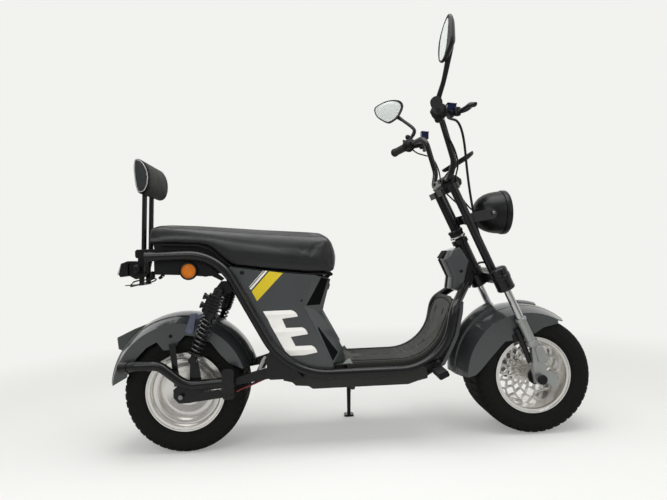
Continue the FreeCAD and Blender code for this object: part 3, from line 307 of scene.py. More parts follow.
def slate_lacquer():
    """Metallic slate lacquer: flakes that catch the light under a clear coat."""
    made = finish("slate metallic lacquer", "#434648", metal=0.35, rough=0.36, drift=(180, 0.1), edge=2.2,
                  Coat_Weight=0.8, Coat_Roughness=0.06)
    tree = made.node_tree
    shader = tree.nodes["Principled BSDF"]
    place = add(tree, "ShaderNodeTexCoord").outputs["Object"]
    flake = add(tree, "ShaderNodeTexVoronoi", {"Vector": place, "Scale": 1000 / 1.1})
    glint = add(tree, "ShaderNodeMapRange", {"Value": flake.outputs["Color"], "To Min": -0.5, "To Max": 0.5})
    bump = add(tree, "ShaderNodeBump", {"Height": glint.outputs["Result"], "Distance": 0.012 * MM,
                                        "Normal": tree.nodes["Bevel"].outputs["Normal"]})
    tree.links.new(bump.outputs["Normal"], shader.inputs["Normal"])
    return made


grey_panel = slate_lacquer()
white_trim = finish("white gloss ABS", "#f6f4f0", rough=0.26, drift=(80, 0.03), edge=1.5, Coat_Weight=0.3)
yellow_film = finish("yellow vinyl film", "#d8bf22", rough=0.34, drift=(50, 0.05), grain=(6, 0.01))
white_film = finish("white vinyl film", "#e6e4de", rough=0.34, drift=(50, 0.04), grain=(6, 0.01))
dark_film = finish("charcoal vinyl film", "#26282a", rough=0.36, drift=(50, 0.08), grain=(6, 0.01))
print("paints and films:", 8)

# %% [markdown]
# Rubber and moulded plastic scatter light.  Tyre rubber is nearly black with a brown bloom, the
# floor mat is a warmer grey with a pebbled skin, and the covers of the switches are textured.

# %% Rubber and plastic
dark_plastic = finish("textured black polypropylene", "#111213", rough=0.5, drift=(50, 0.2), grain=(1.0, 0.06),
                      edge=1.2, Specular_IOR_Level=0.2)
mat_rubber = finish("pebbled floor rubber", "#434440", rough=0.7, drift=(60, 0.18), grain=(2.2, 0.16),
                    Specular_IOR_Level=0.3)
# Darker rubber for the mat's edge beads and slots: painted shade of grooves and holes
groove_shade_rubber = finish("floor rubber with painted groove shade", "#23221f", rough=0.8, drift=(40, 0.2), grain=(2.0, 0.1),
                       Specular_IOR_Level=0.2)
tyre_rubber = finish("tyre rubber", "#121311", rough=0.72, drift=(35, 0.3), grain=(1.6, 0.1),
                     Specular_IOR_Level=0.15)
# Near-black matt plastic: the real black strips and spine, and also the painted shade of the head cover's slot and the
# seat box's recess
insert_and_shade_black = finish("black inserts and painted slot shade", "#060707", rough=0.7, drift=(30, 0.05), Specular_IOR_Level=0.08)
grip_rubber = finish("grip rubber", "#171818", rough=0.62, drift=(20, 0.25), grain=(1.4, 0.12),
                     Specular_IOR_Level=0.3)
hose_rubber = finish("hose rubber", "#0c0d0d", rough=0.45, drift=(25, 0.2), grain=(2.0, 0.03),
                     Specular_IOR_Level=0.35)
battery_case = finish("battery shrink film", "#1b2027", rough=0.4, drift=(40, 0.1))

# %% [markdown]
# Metals take their colour from their reflections, so a metal keeps the default IOR and only its
# tint and roughness are set.  Wheels are polished on a lathe, which leaves fine rings about the
# axle; a wave of the distance from the axle draws them, one material for each wheel because each
# has its own centre.

# %% Metals
def turned_alloy(name, shade, rough, axle, pitch, depth, metal=1.0):
    """Metal polished on a lathe: rings of that pitch and depth in mm about an axle."""
    made = finish(name, shade, metal=metal, rough=rough, drift=(30, 0.05))
    tree = made.node_tree
    shader = tree.nodes["Principled BSDF"]
    place = add(tree, "ShaderNodeTexCoord").outputs["Object"]
    centred = add(tree, "ShaderNodeMapping", {"Vector": place, "Location": -axle}).outputs["Vector"]
    flat = add(tree, "ShaderNodeVectorMath", {0: centred, 1: (1, 0, 1)}, operation="MULTIPLY").outputs["Vector"]
    radius = add(tree, "ShaderNodeVectorMath", {0: flat}, operation="LENGTH").outputs["Value"]
    turns = add(tree, "ShaderNodeMath", {0: radius, 1: 2 * math.pi * 1000 / pitch}, operation="MULTIPLY")
    wave = add(tree, "ShaderNodeMath", {0: turns.outputs["Value"]}, operation="SINE").outputs["Value"]
    bump = add(tree, "ShaderNodeBump", {"Height": wave, "Distance": depth * MM})
    tree.links.new(bump.outputs["Normal"], shader.inputs["Normal"])
    return made


front_polish = turned_alloy("polished aluminium, front", "#e9e7e4", 0.17, FRONT_AXLE, 3.0, 0.012, metal=0.9)
mesh_polish = finish("diamond-cut cast aluminium", "#e9e6e1", metal=0.85, rough=0.22, drift=(12, 0.08), edge=0.8)
rear_polish = turned_alloy("polished aluminium, rear", "#efedea", 0.2, REAR_AXLE, 3.0, 0.012, metal=0.78)
front_steel = turned_alloy("ground steel, front disc", "#8f9091", 0.3, FRONT_AXLE, 2.0, 0.03)
rear_steel = turned_alloy("ground steel, rear disc", "#8f9091", 0.3, REAR_AXLE, 2.0, 0.03)
steel = finish("zinc-plated steel", "#8d8f90", metal=1.0, rough=0.32, drift=(15, 0.12), grain=(1.0, 0.02))
cast_alloy = finish("cast aluminium, silver lacquer", "#a9abaa", metal=0.8, rough=0.36, drift=(25, 0.08),
                    grain=(1.4, 0.04), edge=2.0)
chrome = finish("chrome plate", "#cfd0d0", metal=1.0, rough=0.07, drift=(40, 0.04))
black_steel = finish("black lacquered spring steel", "#0e0f10", metal=0.2, rough=0.26, drift=(20, 0.2),
                     Coat_Weight=0.4)
blue_anodised = finish("blue anodised aluminium", "#16213f", metal=0.8, rough=0.3, drift=(20, 0.12),
                       grain=(0.8, 0.02), edge=1.5)
lilac_anodised = finish("grey-blue anodised aluminium", "#666a7c", metal=0.7, rough=0.34, drift=(20, 0.1),
                        grain=(0.8, 0.02), edge=1.5)
mirror_face = finish("silvered glass", "#e3e8e5", metal=0.55, rough=0.06, drift=(60, 0.02))

# %% [markdown]
# Lamps are clear or coloured plastic.  The amber reflector is moulded with rows of tiny prisms
# behind a smooth face, which the eye reads as a glow, so its colour is strong and its face glossy.

# %% Lenses
amber_lens = finish("amber acrylic", "#d2730a", rough=0.3, drift=(12, 0.08), Coat_Weight=0.3, Coat_Roughness=0.05,
                    Specular_IOR_Level=0.25)
prisms = amber_lens.node_tree
grid = add(prisms, "ShaderNodeTexVoronoi", {"Vector": add(prisms, "ShaderNodeTexCoord").outputs["Object"],
                                            "Scale": 1000 / 3.2, "Randomness": 0.0})
relief = add(prisms, "ShaderNodeBump", {"Height": grid.outputs["Distance"], "Distance": 0.5 * MM})
prisms.links.new(relief.outputs["Normal"], prisms.nodes["Principled BSDF"].inputs["Normal"])
clear_lens = finish("frosted acrylic", "#e3e0de", rough=0.22, drift=(20, 0.05), Transmission_Weight=0.35,
                    Coat_Weight=1.0)
red_lens = finish("red acrylic", "#8e1712", rough=0.2, drift=(12, 0.1), Coat_Weight=1.0)
lamp_glass = finish("headlamp glass", "#f4f5f4", rough=0.03, drift=(60, 0.01), Transmission_Weight=0.95,
                    IOR=1.49)
screen_glass = finish("smoked instrument glass", "#0b0d10", rough=0.08, drift=(40, 0.1), Coat_Weight=1.0,
                      Coat_Roughness=0.03)

# %% [markdown]
# The seat is vinyl leatherette.  Its print is a net of small soft cells with creases between
# them, a Voronoi pattern at about 2 mm, laid over a slower unevenness where the foam below gives.

# %% Leatherette
def leatherette(name, shade, cell, rough=0.36, shine=0.45):
    """Printed vinyl: soft cells of that size in mm with creases between them."""
    made = finish(name, shade, rough=rough, drift=(45, 0.18), Specular_IOR_Level=shine)
    tree = made.node_tree
    shader = tree.nodes["Principled BSDF"]
    place = add(tree, "ShaderNodeTexCoord").outputs["Object"]
    warp = add(tree, "ShaderNodeTexNoise", {"Vector": place, "Scale": 1000 / (3 * cell)}).outputs["Color"]
    nudge = add(tree, "ShaderNodeVectorMath", {0: warp, "Scale": 0.9 * cell * MM}, operation="SCALE")
    bent = add(tree, "ShaderNodeVectorMath", {0: place, 1: nudge.outputs["Vector"]}, operation="ADD")
    cells = add(tree, "ShaderNodeTexVoronoi", {"Vector": bent.outputs["Vector"], "Scale": 1000 / cell},
                feature="DISTANCE_TO_EDGE")
    crease = add(tree, "ShaderNodeMapRange", {"Value": cells.outputs["Distance"], "From Max": 0.18})
    print_bump = add(tree, "ShaderNodeBump", {"Height": crease.outputs["Result"], "Distance": 0.09 * MM})
    foam = add(tree, "ShaderNodeTexNoise", {"Vector": place, "Scale": 1000 / 60, "Detail": 1.0})
    soft = add(tree, "ShaderNodeBump", {"Height": foam.outputs["Fac"], "Distance": 1.2 * MM,
                                        "Normal": print_bump.outputs["Normal"]})
    tree.links.new(soft.outputs["Normal"], shader.inputs["Normal"])
    return made


seat_leather = leatherette("black leatherette", "#0c0e10", 2.2, rough=0.38, shine=0.55)
back_leather = leatherette("charcoal leatherette", "#2a2c28", 2.2, rough=0.55, shine=0.12)
gusset_leather = leatherette("gloss black gusset", "#040404", 1.8, rough=0.4, shine=0.05)
end_leather = leatherette("slate leatherette", "#2b2c2f", 2.2, rough=0.5, shine=0.2)
# The piping cord is real; its pale silver-grey colour is a painted highlight
piping_highlight_vinyl = finish("piping, pale with a painted highlight", "#a3a5a4", rough=0.35, drift=(20, 0.08))

# %% [markdown]
# ## Finishes on the CAD pieces
#
# A CAD node whose shape is right keeps its mesh and only takes a better material.  A table says
# which finish each node wears.

# %% Paint the CAD nodes
wears = {
    black_paint: "frame_tubes neck swing_arm bumpers backrest_frame handlebar fork_tubes side_stand "
                 "lower_clamp upper_clamp lamp_bracket shocks deck_cross fender_stays",
    satin_paint: "headlight stem controls tail_light",
    grey_panel: "apron head_cover seat_box_sides seat_box_front rear_fender front_fender",
    belly_grey: "belly_pan deck_pan",
    dark_plastic: "seat_box_rear tail_panel display mirrors seat_base foot_pegs",
    mat_rubber: "floor_mat",
    cast_alloy: "fork_sliders",
    chrome: "stanchions",
    steel: "front_axle rear_axle",
    black_steel: "shock_springs",
    blue_anodised: "fluid_cups",
    lilac_anodised: "shock_reservoirs",
    white_trim: "side_fins",
    amber_lens: "side_reflectors",
    clear_lens: "tail_lens",
    lamp_glass: "headlight_lens",
    mirror_face: "mirror_glass",
    battery_case: "battery_block",
    grip_rubber: "grips",
    hose_rubber: "brake_hose",
    tyre_rubber: "front_tyre rear_tyre",
    front_polish: "front_rim",
    rear_polish: "rear_rim",
    front_steel: "front_disc",
    rear_steel: "rear_disc",
    seat_leather: "seat_cushion backrest_cushion",
}
painted = []
for material, names in wears.items():
    for name in names.split():
        for slot in cad[name].material_slots:
            slot.material = material
        painted.append(name)
print("painted:", len(painted), "left over:", sorted(set(cad) - set(painted)))

# %% [markdown]
# ## Building pieces
#
# New pieces are made from a list of corners and faces, or by sweeping a profile round an axis.
# Each gets its finish, its place on a moving body, and smooth shading that keeps edges sharper
# than 35 degrees crisp.

# %% Helpers for meshes
def built(corners, faces):
    """Mesh of corners in metres, with its faces turned outwards."""
    mesh = bpy.data.meshes.new("form")
    mesh.from_pydata([tuple(c) for c in corners], [], faces)
    work = bmesh.new()
    work.from_mesh(mesh)
    bmesh.ops.remove_doubles(work, verts=work.verts, dist=1e-6)
    bmesh.ops.recalc_face_normals(work, faces=work.faces)
    work.to_mesh(mesh)
    work.free()
    return mesh


def joined(meshes):
    """One mesh from several."""
    work = bmesh.new()
    for mesh in meshes:
        work.from_mesh(mesh)
        bpy.data.meshes.remove(mesh)
    made = bpy.data.meshes.new("forms")
    work.to_mesh(made)
    work.free()
    return made


def piece(name, form, body, *materials, slot, edge=35, stands_for=()):
    """Show a mesh, or a list of them, as a piece of the scooter that rides on a body."""
    mesh = joined(form) if isinstance(form, list) else form
    mesh.name = name
    mesh.materials.clear()
    for material in materials:
        mesh.materials.append(material)
    mesh.shade_smooth()
    mesh.set_sharp_from_angle(angle=math.radians(edge))
    made = placed(name, mesh)
    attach(made, body)
    if stands_for:
        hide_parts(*stands_for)
    return made


def softened(made, width, segments, **settings):
    """Round the edges of a piece by that many mm."""
    soft = made.modifiers.new("edges", "BEVEL")
    soft.width, soft.segments = width * MM, segments
    for name, value in settings.items():
        setattr(soft, name, value)


def band(here, there, n):
    """Faces between two rings of n corners that start at those numbers."""
    return [[here + i, here + (i + 1) % n, there + (i + 1) % n, there + i] for i in range(n)]


def skinned(*rings):
    """Closed mesh through rings of as many corners each, in metres, shut at both ends."""
    n = len(rings[0])
    corners = [corner for ring in rings for corner in ring]
    faces = [face for k in range(len(rings) - 1) for face in band(k * n, k * n + n, n)]
    return built(corners, faces + [list(range(n)), [len(corners) - 1 - i for i in range(n)]])


def swept(profile, centre, axis=ACROSS, out=Vector((1, 0, 0)), steps=96, closed=False):
    """Mesh of revolution from (along the axis, radius) pairs in mm."""
    side = axis.cross(out)
    corners, faces = [], []
    for k in range(steps):
        a = 2 * math.pi * k / steps
        ray = out * math.cos(a) + side * math.sin(a)
        corners += [centre + axis * (s * MM) + ray * (r * MM) for s, r in profile]
    n = len(profile)
    for k in range(steps):
        faces += band(k * n, (k + 1) % steps * n, n)[:n if closed else n - 1]
    return built(corners, faces)


def slab(outline, y0, y1):
    """Flat piece in mm: an outline in X and Z between two depths."""
    return skinned(*[[spot(x, y, z) for x, z in outline] for y in (y0, y1)])


# %% [markdown]
# ## Geometry Nodes that go round, along and onto
#
# Tread, ribs, wheel bars and screws repeat.  Each tree takes a pattern object and named sizes, puts
# copies of it where they belong, makes them real and gives them their material.  The result is
# baked to a plain mesh at once, so nothing is left live.

# %% Helpers for node trees
def new_tree(name, *inputs):
    """Geometry tree with named inputs, each (label, socket kind)."""
    tree = bpy.data.node_groups.new(name, "GeometryNodeTree")
    tree.interface.new_socket("Geometry", in_out="OUTPUT", socket_type="NodeSocketGeometry")
    for label, kind in inputs:
        tree.interface.new_socket(label, in_out="INPUT", socket_type=kind)
    given = add(tree, "NodeGroupInput").outputs
    return tree, given


def close_tree(tree, geometry, given):
    """End a tree: its copies become real and take the material asked for."""
    real = add(tree, "GeometryNodeRealizeInstances", {"Geometry": geometry})
    dressed = add(tree, "GeometryNodeSetMaterial", {"Geometry": real.outputs["Geometry"],
                                                    "Material": given["Finish"]})
    add(tree, "NodeGroupOutput", {"Geometry": dressed.outputs["Geometry"]})


def baked(tree, **values):
    """Run a tree with those inputs and return the mesh it makes.  The objects among them were only
    patterns, and are taken away."""
    host = placed("host", bpy.data.meshes.new("host"))
    live = host.modifiers.new("pattern", "NODES")
    live.node_group = tree
    for label, value in values.items():
        live[tree.interface.items_tree[label].identifier] = value
    mesh = frozen(host)
    host.modifiers.clear()
    for spent in [host] + [value for value in values.values() if isinstance(value, bpy.types.Object)]:
        bpy.data.objects.remove(spent)
    return mesh


# %% A tree that turns copies round an axle
round_tree, given = new_tree("round the axle", ("Pattern", "NodeSocketObject"), ("Count", "NodeSocketInt"),
                             ("Axle", "NodeSocketVector"), ("Finish", "NodeSocketMaterial"))
one = add(round_tree, "GeometryNodeObjectInfo", {"Object": given["Pattern"]}).outputs["Geometry"]
dots = add(round_tree, "GeometryNodeMeshLine", {"Count": given["Count"], "Offset": (0, 0, 0)}).outputs["Mesh"]
number = add(round_tree, "GeometryNodeInputIndex").outputs["Index"]
full = add(round_tree, "ShaderNodeMath", {0: number, 1: 2 * math.pi}, operation="MULTIPLY").outputs["Value"]
angle = add(round_tree, "ShaderNodeMath", {0: full, 1: given["Count"]}, operation="DIVIDE").outputs["Value"]
spin = add(round_tree, "ShaderNodeCombineXYZ", {"Y": angle}).outputs["Vector"]
copies = add(round_tree, "GeometryNodeInstanceOnPoints", {"Points": dots, "Instance": one, "Rotation": spin})
moved = add(round_tree, "GeometryNodeTransform", {"Geometry": copies.outputs["Instances"],
                                                  "Translation": given["Axle"]})
close_tree(round_tree, moved.outputs["Geometry"], given)
print("tree:", round_tree.name, "inputs:", [s.name for s in round_tree.interface.items_tree][1:])

# %% [markdown]
# ## Tyres
#
# These are wide street tyres.  The carcass is a profile swept round the axle: bead, a bulging
# side wall with two fine raised rings, a rounded shoulder and a smooth rib down the middle.  On
# each side of the rib slanted blocks run over the shoulder, 45 to a turn, and the notches between
# them are what one sees from the side.  The blocks are modelled once and turned by the tree.

# %% One block and the carcass
CARCASS = [(91.4, 130.0), (93.2, 141.6), (98.5, 146.5), (104.5, 153.5), (106.6, 155.6), (107.0, 157.6),
           (106.8, 158.6), (109.6, 166.5), (111.4, 176.0), (111.9, 178.2), (111.8, 180.4), (111.0, 181.6),
           (109.6, 190.0), (106.4, 198.5), (100.0, 206.0), (91.0, 210.9), (78.0, 213.4), (19.5, 214.0),
           (18.0, 214.2), (16.0, 216.9)]
BLOCKS = 45
BLOCK_W = 21.0          # along the tread, out of a pitch of 30
BLOCK_ROWS = [(22, 217.0), (50, 216.9), (76, 216.2), (91, 213.8), (100.5, 208.6), (106.8, 200.8), (109.6, 193.0)]
BLOCK_DEEP = 5.0
BLOCK_FOOT = 1.1        # a block's foot is this much wider than its top
SLANT = 0.07            # radians that a block leans back by its outer end


def tread_block(side):
    """One slanted block from the middle rib over the shoulder, in metres about the axle."""
    corners, faces = [], []
    for i, (y, r) in enumerate(BLOCK_ROWS):
        lean = SLANT * i / (len(BLOCK_ROWS) - 1) * side
        wide = BLOCK_W / 2 / 217 * (1 - 0.12 * (i == 0) - 0.25 * (i == len(BLOCK_ROWS) - 1))
        for depth, spread in ((BLOCK_DEEP, BLOCK_FOOT), (0.0, 1.0)):
            for end in (-1, 1):
                a = lean + end * wide * spread
                corners.append(Vector(((r - depth) * math.cos(a), side * (y - depth * 0.3 * (i > 3)),
                                       (r - depth) * math.sin(a))) * MM)
    for i in range(len(BLOCK_ROWS) - 1):
        here, there = 4 * i, 4 * i + 4
        for a, b in ((2, 3), (3, 1), (0, 2)):
            faces.append([here + a, here + b, there + b, there + a])
    last = 4 * (len(BLOCK_ROWS) - 1)
    faces += [[0, 1, 3, 2], [last, last + 2, last + 3, last + 1]]
    return corners, faces


def tyre(name, axle, body, node):
    """Carcass and tread of one tyre as a single piece."""
    whole = CARCASS + [(-y, r) for y, r in reversed(CARCASS)]
    meshes = [swept(whole, axle, steps=120, closed=True)]
    for side in SIDES:
        block = placed("block", built(*tread_block(side)))
        meshes.append(baked(round_tree, Pattern=block, Count=BLOCKS, Axle=axle, Finish=tyre_rubber))
    return piece(name, meshes, body, tyre_rubber, slot="tyre_rubber", edge=30, stands_for=[node])


# %% Both tyres
for name, axle, body, node in (("tread_front", FRONT_AXLE, "front_wheel", "front_tyre"),
                               ("tread_rear", REAR_AXLE, "rear_wheel", "rear_tyre")):
    made = tyre(name, axle, body, node)
    print(name, len(made.data.polygons), "faces")

# %% [markdown]
# ## Seat
#
# The seat is moulded foam in a tight leatherette cover: thin over the rear rails and twice as
# deep where it drops in front of them.  It starts a few millimetres small, is remeshed evenly,
# and then blown up as cloth with a little pressure, which gives the fullness between the seams
# that a plain rounded block lacks.  Its underside rests on a plate, so those points are held.

# %% Padded forms
DROP = 0.72             # how far an outline draws in over a rounded edge, as a share of the radius


def inset(outline, d):
    """The outline moved inwards by d mm, or by d(x, z); it runs clockwise seen from the right."""
    moved = []
    for i, (x1, z1) in enumerate(outline):
        x0, z0 = outline[i - 1]
        x2, z2 = outline[(i + 1) % len(outline)]
        a = Vector((x1 - x0, z1 - z0)).normalized()
        b = Vector((x2 - x1, z2 - z1)).normalized()
        n = Vector((a.y + b.y, -a.x - b.x)).normalized()
        deep = d(x1, z1) if callable(d) else d
        moved.append((x1 + n.x * deep, z1 + n.y * deep))
    return moved


def rounded(outline, rounds=2):
    """Cut the corners of an outline again and again, which rounds it."""
    for _ in range(rounds):
        cut = []
        for i, (x1, z1) in enumerate(outline):
            x0, z0 = outline[i - 1]
            cut += [(0.25 * x0 + 0.75 * x1, 0.25 * z0 + 0.75 * z1)]
            x2, z2 = outline[(i + 1) % len(outline)]
            cut += [(0.75 * x1 + 0.25 * x2, 0.75 * z1 + 0.25 * z2)]
        outline = cut
    return outline


def cushion_mesh(outline, half, edge, start=0.0, crown=lambda x, z: 1.0):
    """Closed form across Y with an edge of that radius, made start mm small all round.
    The crown says how much of the edge's drop each place of the outline takes."""
    steps = [k / 6 for k in range(7)]
    ends = [(half - edge + edge * math.sin(t * math.pi / 2), edge * (1 - math.cos(t * math.pi / 2)))
            for t in steps]
    sections = [(-y, d) for y, d in reversed(ends)] + ends
    return skinned(*[[spot(x, y - math.copysign(start, y), z) for x, z in
                      inset(outline, lambda x, z, d=d: d * DROP * crown(x, z) + start)] for y, d in sections])


# %% Blow up a form as cloth
CLOTH_FRAMES = 20


def swollen(mesh, voxel, cap, held, puff=4.0):
    """Remesh at voxel mm, swell as cloth by at most cap mm, and return the new mesh."""
    work = placed("swell", mesh)
    even = work.modifiers.new("even", "REMESH")
    even.mode = "VOXEL"
    even.voxel_size = voxel * MM
    work.data = frozen(work)
    work.modifiers.clear()
    start = [v.co.copy() for v in work.data.vertices]
    pins = work.vertex_groups.new(name="held")
    pins.add([v.index for v in work.data.vertices if held(v)], 1.0, "REPLACE")
    cloth = work.modifiers.new("cloth", "CLOTH")
    cloth.settings.use_pressure = True
    cloth.settings.uniform_pressure_force = puff
    cloth.settings.effector_weights.gravity = 0
    cloth.settings.vertex_group_mass = "held"
    cloth.settings.quality = 6
    for number in range(1, CLOTH_FRAMES + 1):
        bpy.context.scene.frame_set(number)
    mesh = frozen(work)
    bpy.context.scene.frame_set(1)
    bpy.data.objects.remove(work)
    for v, old in zip(mesh.vertices, start):
        way = v.co - old
        if way.length > cap * MM:
            v.co = old + way.normalized() * cap * MM
    return mesh


def subdivided(pad):
    """Smooth a padded piece by one more level."""
    smooth = pad.modifiers.new("smooth", "SUBSURF")
    smooth.levels = smooth.render_levels = 1


# %% Make the seat
SEAT_HALF = 138.0
SEAT = [(-104, 752), (-105.5, 768), (-105.5, 796), (-101, 809), (-88, 814.5), (-35, 815), (60, 809.5), (157, 801),
        (301, 787.5), (446, 774.5), (510, 767), (534, 757), (549, 736), (556, 700), (555, 655), (549, 634), (532, 625),
        (440, 630), (296, 647), (196, 662), (178, 669), (153, 688), (118, 724), (100, 735), (69, 742), (-58, 749)]


def seat_crown(x, z):
    """The seat's top slopes to its sides, more so over the deep nose; its bottom stays flat."""
    under = 752 if x < 80 else 752 - (x - 80) * 0.76 if x < 190 else 669 - (x - 190) * 0.11
    if z < under + 12:
        return 0.15
    slope = min(1.0, max(0.0, (x + 20) / 300))
    return 0.55 if x > 520 and z < 760 else 0.35 + 1.75 * slope - max(0.0, x - 420) * 0.011


form = cushion_mesh(SEAT, SEAT_HALF, 46, start=2.0, crown=seat_crown)
form = swollen(form, 6, 5, lambda v: v.normal.z < -0.6, puff=3.0)
seat = piece("seat_pad", form, "seat", seat_leather, slot="seat_leather", edge=180, stands_for=["seat_cushion"])
subdivided(seat)
print("seat:", len(seat.data.polygons), "faces, spans", [round(d * 1000) for d in seat.dimensions])

# %% [markdown]
# ## Backrest
#
# A D-shaped pad across two posts.  Its front is charcoal leatherette, a glossy gusset turns the
# corner at each end, and a flat end panel is edged with piping whose pale silver-grey is a painted
# highlight on that edge.

# %% Make the backrest
BACK_HALF = 127.0
BACK = [(-155, 1059), (-124, 1058), (-106, 1040), (-95, 1012), (-93, 985), (-97, 955), (-112, 931), (-146, 928)]
form = cushion_mesh(rounded(BACK, 2), BACK_HALF, 10, start=2.0)
form = swollen(form, 5, 5, lambda v: v.normal.x < -0.6)
backrest = piece("backrest_pad", form, "frame", back_leather, gusset_leather, end_leather,
                 slot="seat_leather", edge=180, stands_for=["backrest_cushion"])
for face in backrest.data.polygons:
    y = abs(face.center.y) / MM
    flat_end = abs(face.normal.y) > 0.8 and y > 118
    face.material_index = 2 if flat_end else 1 if y > 92 and face.normal.x > -0.5 else 0
subdivided(backrest)
print("backrest:", len(backrest.data.polygons), "faces")

# %% [markdown]
# ## Seams
#
# A seam on a padded piece can't survive the remesh, so it comes after it.  Its path is snapped to
# the nearest point of the swollen surface, and a thin cord of vinyl follows it.

# %% Lay a cord on a surface
def on_surface(pad, points, lift=0.0):
    """Those points moved to the nearest place on a pad, lifted by some mm."""
    graph = bpy.context.evaluated_depsgraph_get()
    tree = BVHTree.FromObject(pad, graph)
    laid = []
    for p in points:
        place, normal, *_ = tree.find_nearest(p)
        laid.append(place + normal * lift * MM)
    return laid


def round_line(name, points, radius, kind, resolution):
    """Curve of that radius in mm through the points, with its one run."""
    line = bpy.data.curves.new(name, "CURVE")
    line.dimensions = "3D"
    line.bevel_depth = radius * MM
    line.bevel_resolution = resolution
    line.use_fill_caps = True
    run = line.splines.new(kind)
    run.points.add(len(points) - 1)
    for dot, p in zip(run.points, points):
        dot.co = (*p, 1)
    return placed(name, line), run


def along(points, radius, closed=False):
    """Mesh of a round cord of that radius in mm through the points."""
    host, run = round_line("line", points, radius, "POLY", 3)
    run.use_cyclic_u = closed
    mesh = frozen(host)
    bpy.data.objects.remove(host)
    return mesh


def dense(points, step=6.0):
    """Points every few mm along straight runs."""
    fine = []
    for a, b in zip(points, points[1:]):
        count = max(1, round((b - a).length / MM / step))
        fine += [a.lerp(b, k / count) for k in range(count)]
    return fine + [points[-1]]


# %% Piping and seams
rings = []
for side in SIDES:
    edge = [spot(x, side * (BACK_HALF + 4), z) for x, z in inset(rounded(BACK, 2), 3)]
    rings.append(along(on_surface(backrest, dense(edge + edge[:1])[:-1], 0.3), 1.7, closed=True))
piece("backrest_piping", rings, "frame", piping_highlight_vinyl, edge=180, slot="seat_leather")
seams = []
top = [(-88, 811), (-35, 815), (157, 801), (301, 787.5), (446, 774.5), (510, 767), (534, 757), (549, 736),
       (556, 700), (555, 655)]
for side in SIDES:
    edge = [spot(x, side * (SEAT_HALF - 16), z) for x, z in top]
    seams.append(along(on_surface(seat, dense(edge), -0.3), 1.1))
welt = piece("seat_welt", seams, "seat", seat_leather, edge=180, slot="seat_leather")
print("seams:", len(welt.data.polygons), "faces")

# %% Skirt under the thin rear of the seat
SKIRT = [(-88, 757), (67, 750), (112, 732), (154, 694), (178, 668), (180, 652), (176, 640), (150, 648),
         (118, 684), (92, 703), (60, 709), (-80, 711)]
pair = [slab(SKIRT, side * 120, side * 127) for side in SIDES]
across = slab([(-64, 744), (-56, 743.6), (-52, 714.4), (-60, 714)], -121, 121)
piece("seat_skirt", pair + [across], "seat", dark_plastic, slot="dark_plastic")

# %% [markdown]
# ## Stripes on the side panels
#
# Two bands of vinyl film slant down the panel from under the seat: a wide yellow one, and a thin
# white one with a dark line at each side.  They are real films, a third of a millimetre thick.

# %% Cut the films
PANEL_Y = 138.7
FILMS = [
    (yellow_film, [(317, 639.5), (366, 632), (271, 535.5), (253.5, 571.5)]),
    (dark_film, [(312, 641), (317, 640.3), (253.5, 571.5), (251, 576)]),
    (white_film, [(303, 642), (312, 641), (251, 576), (247, 582)]),
    (dark_film, [(299.5, 642.6), (303, 642), (247, 582), (245.5, 585)]),
    (white_film, [(296.5, 643), (299.5, 642.6), (245.5, 585), (244.5, 587)]),
]
FILM_Y = (PANEL_Y + 0.05, PANEL_Y + 0.4)
for number, (film, outline) in enumerate(FILMS):
    pair = [slab(outline, side * FILM_Y[0], side * FILM_Y[1]) for side in SIDES]
    piece(f"side_stripe_{number + 1}", pair, "frame", film, slot="white_trim")
print("films on each side:", len(FILMS))

# %% [markdown]
# ## Smooth stalks and turned pieces
#
# A mirror arm or a lever isn't a straight tube: its thickness changes and its line bends gently.
# One helper draws a smooth curve through a few points and skins it with rings of changing radius.
# Another turns a profile between two points, for knobs, nuts and rings that face any way.

# %% Helpers for stalks and turned pieces
def stalk(points, radii, flat=1.0, sides=16, fine=7):
    """Tube through points in mm, with a radius at each; flat below 1 squashes it upwards."""
    spots = [spot(*p) for p in points]
    line, sizes = [], []
    padded = [spots[0] * 2 - spots[1]] + spots + [spots[-1] * 2 - spots[-2]]
    for i in range(len(spots) - 1):
        p0, p1, p2, p3 = padded[i:i + 4]
        for k in range(fine):
            t = k / fine
            line.append(0.5 * (2 * p1 + (p2 - p0) * t + (2 * p0 - 5 * p1 + 4 * p2 - p3) * t * t
                               + (3 * p1 - p0 - 3 * p2 + p3) * t ** 3))
            sizes.append(radii[i] + (radii[i + 1] - radii[i]) * t)
    line.append(spots[-1])
    sizes.append(radii[-1])
    rings = []
    for i, (p, r) in enumerate(zip(line, sizes)):
        way = (line[min(i + 1, len(line) - 1)] - line[max(i - 1, 0)]).normalized()
        side = way.cross(Vector((0, 0, 1)) if abs(way.z) < 0.8 else Vector((1, 0, 0))).normalized()
        rise = side.cross(way)
        turns = [2 * math.pi * k / sides for k in range(sides)]
        rings.append([p + (side * math.cos(a) + rise * math.sin(a) * flat) * r * MM for a in turns])
    return skinned(*rings)


def turned(start, end, profile, steps=40):
    """Revolve (mm from the start, radius) pairs about the line from start to end, both in mm."""
    a, b = spot(*start), spot(*end)
    axis = (b - a).normalized()
    out = axis.cross(Vector((0, 0, 1)) if abs(axis.z) < 0.9 else Vector((1, 0, 0))).normalized()
    return swept(profile, a, axis, out, steps)


RAKE = math.radians(23.4)
YOKE_X, YOKE_Z = 1112.7, 575


def at_head(s, f=0.0, y=0.0):
    """Point s mm up the steering axis from the lower yoke, f mm ahead of it and y mm to the left."""
    return (YOKE_X - math.sin(RAKE) * s + math.cos(RAKE) * f, y, YOKE_Z + math.cos(RAKE) * s + math.sin(RAKE) * f)


# %% [markdown]
# ## Mirrors
#
# Each mirror is a rounded shell with five sides, domed behind, with a thin rim and a silvered
# glass set just inside it.  The right one stands upright and is seen nearly from its edge; the
# left one lies wider and shows its whole face.

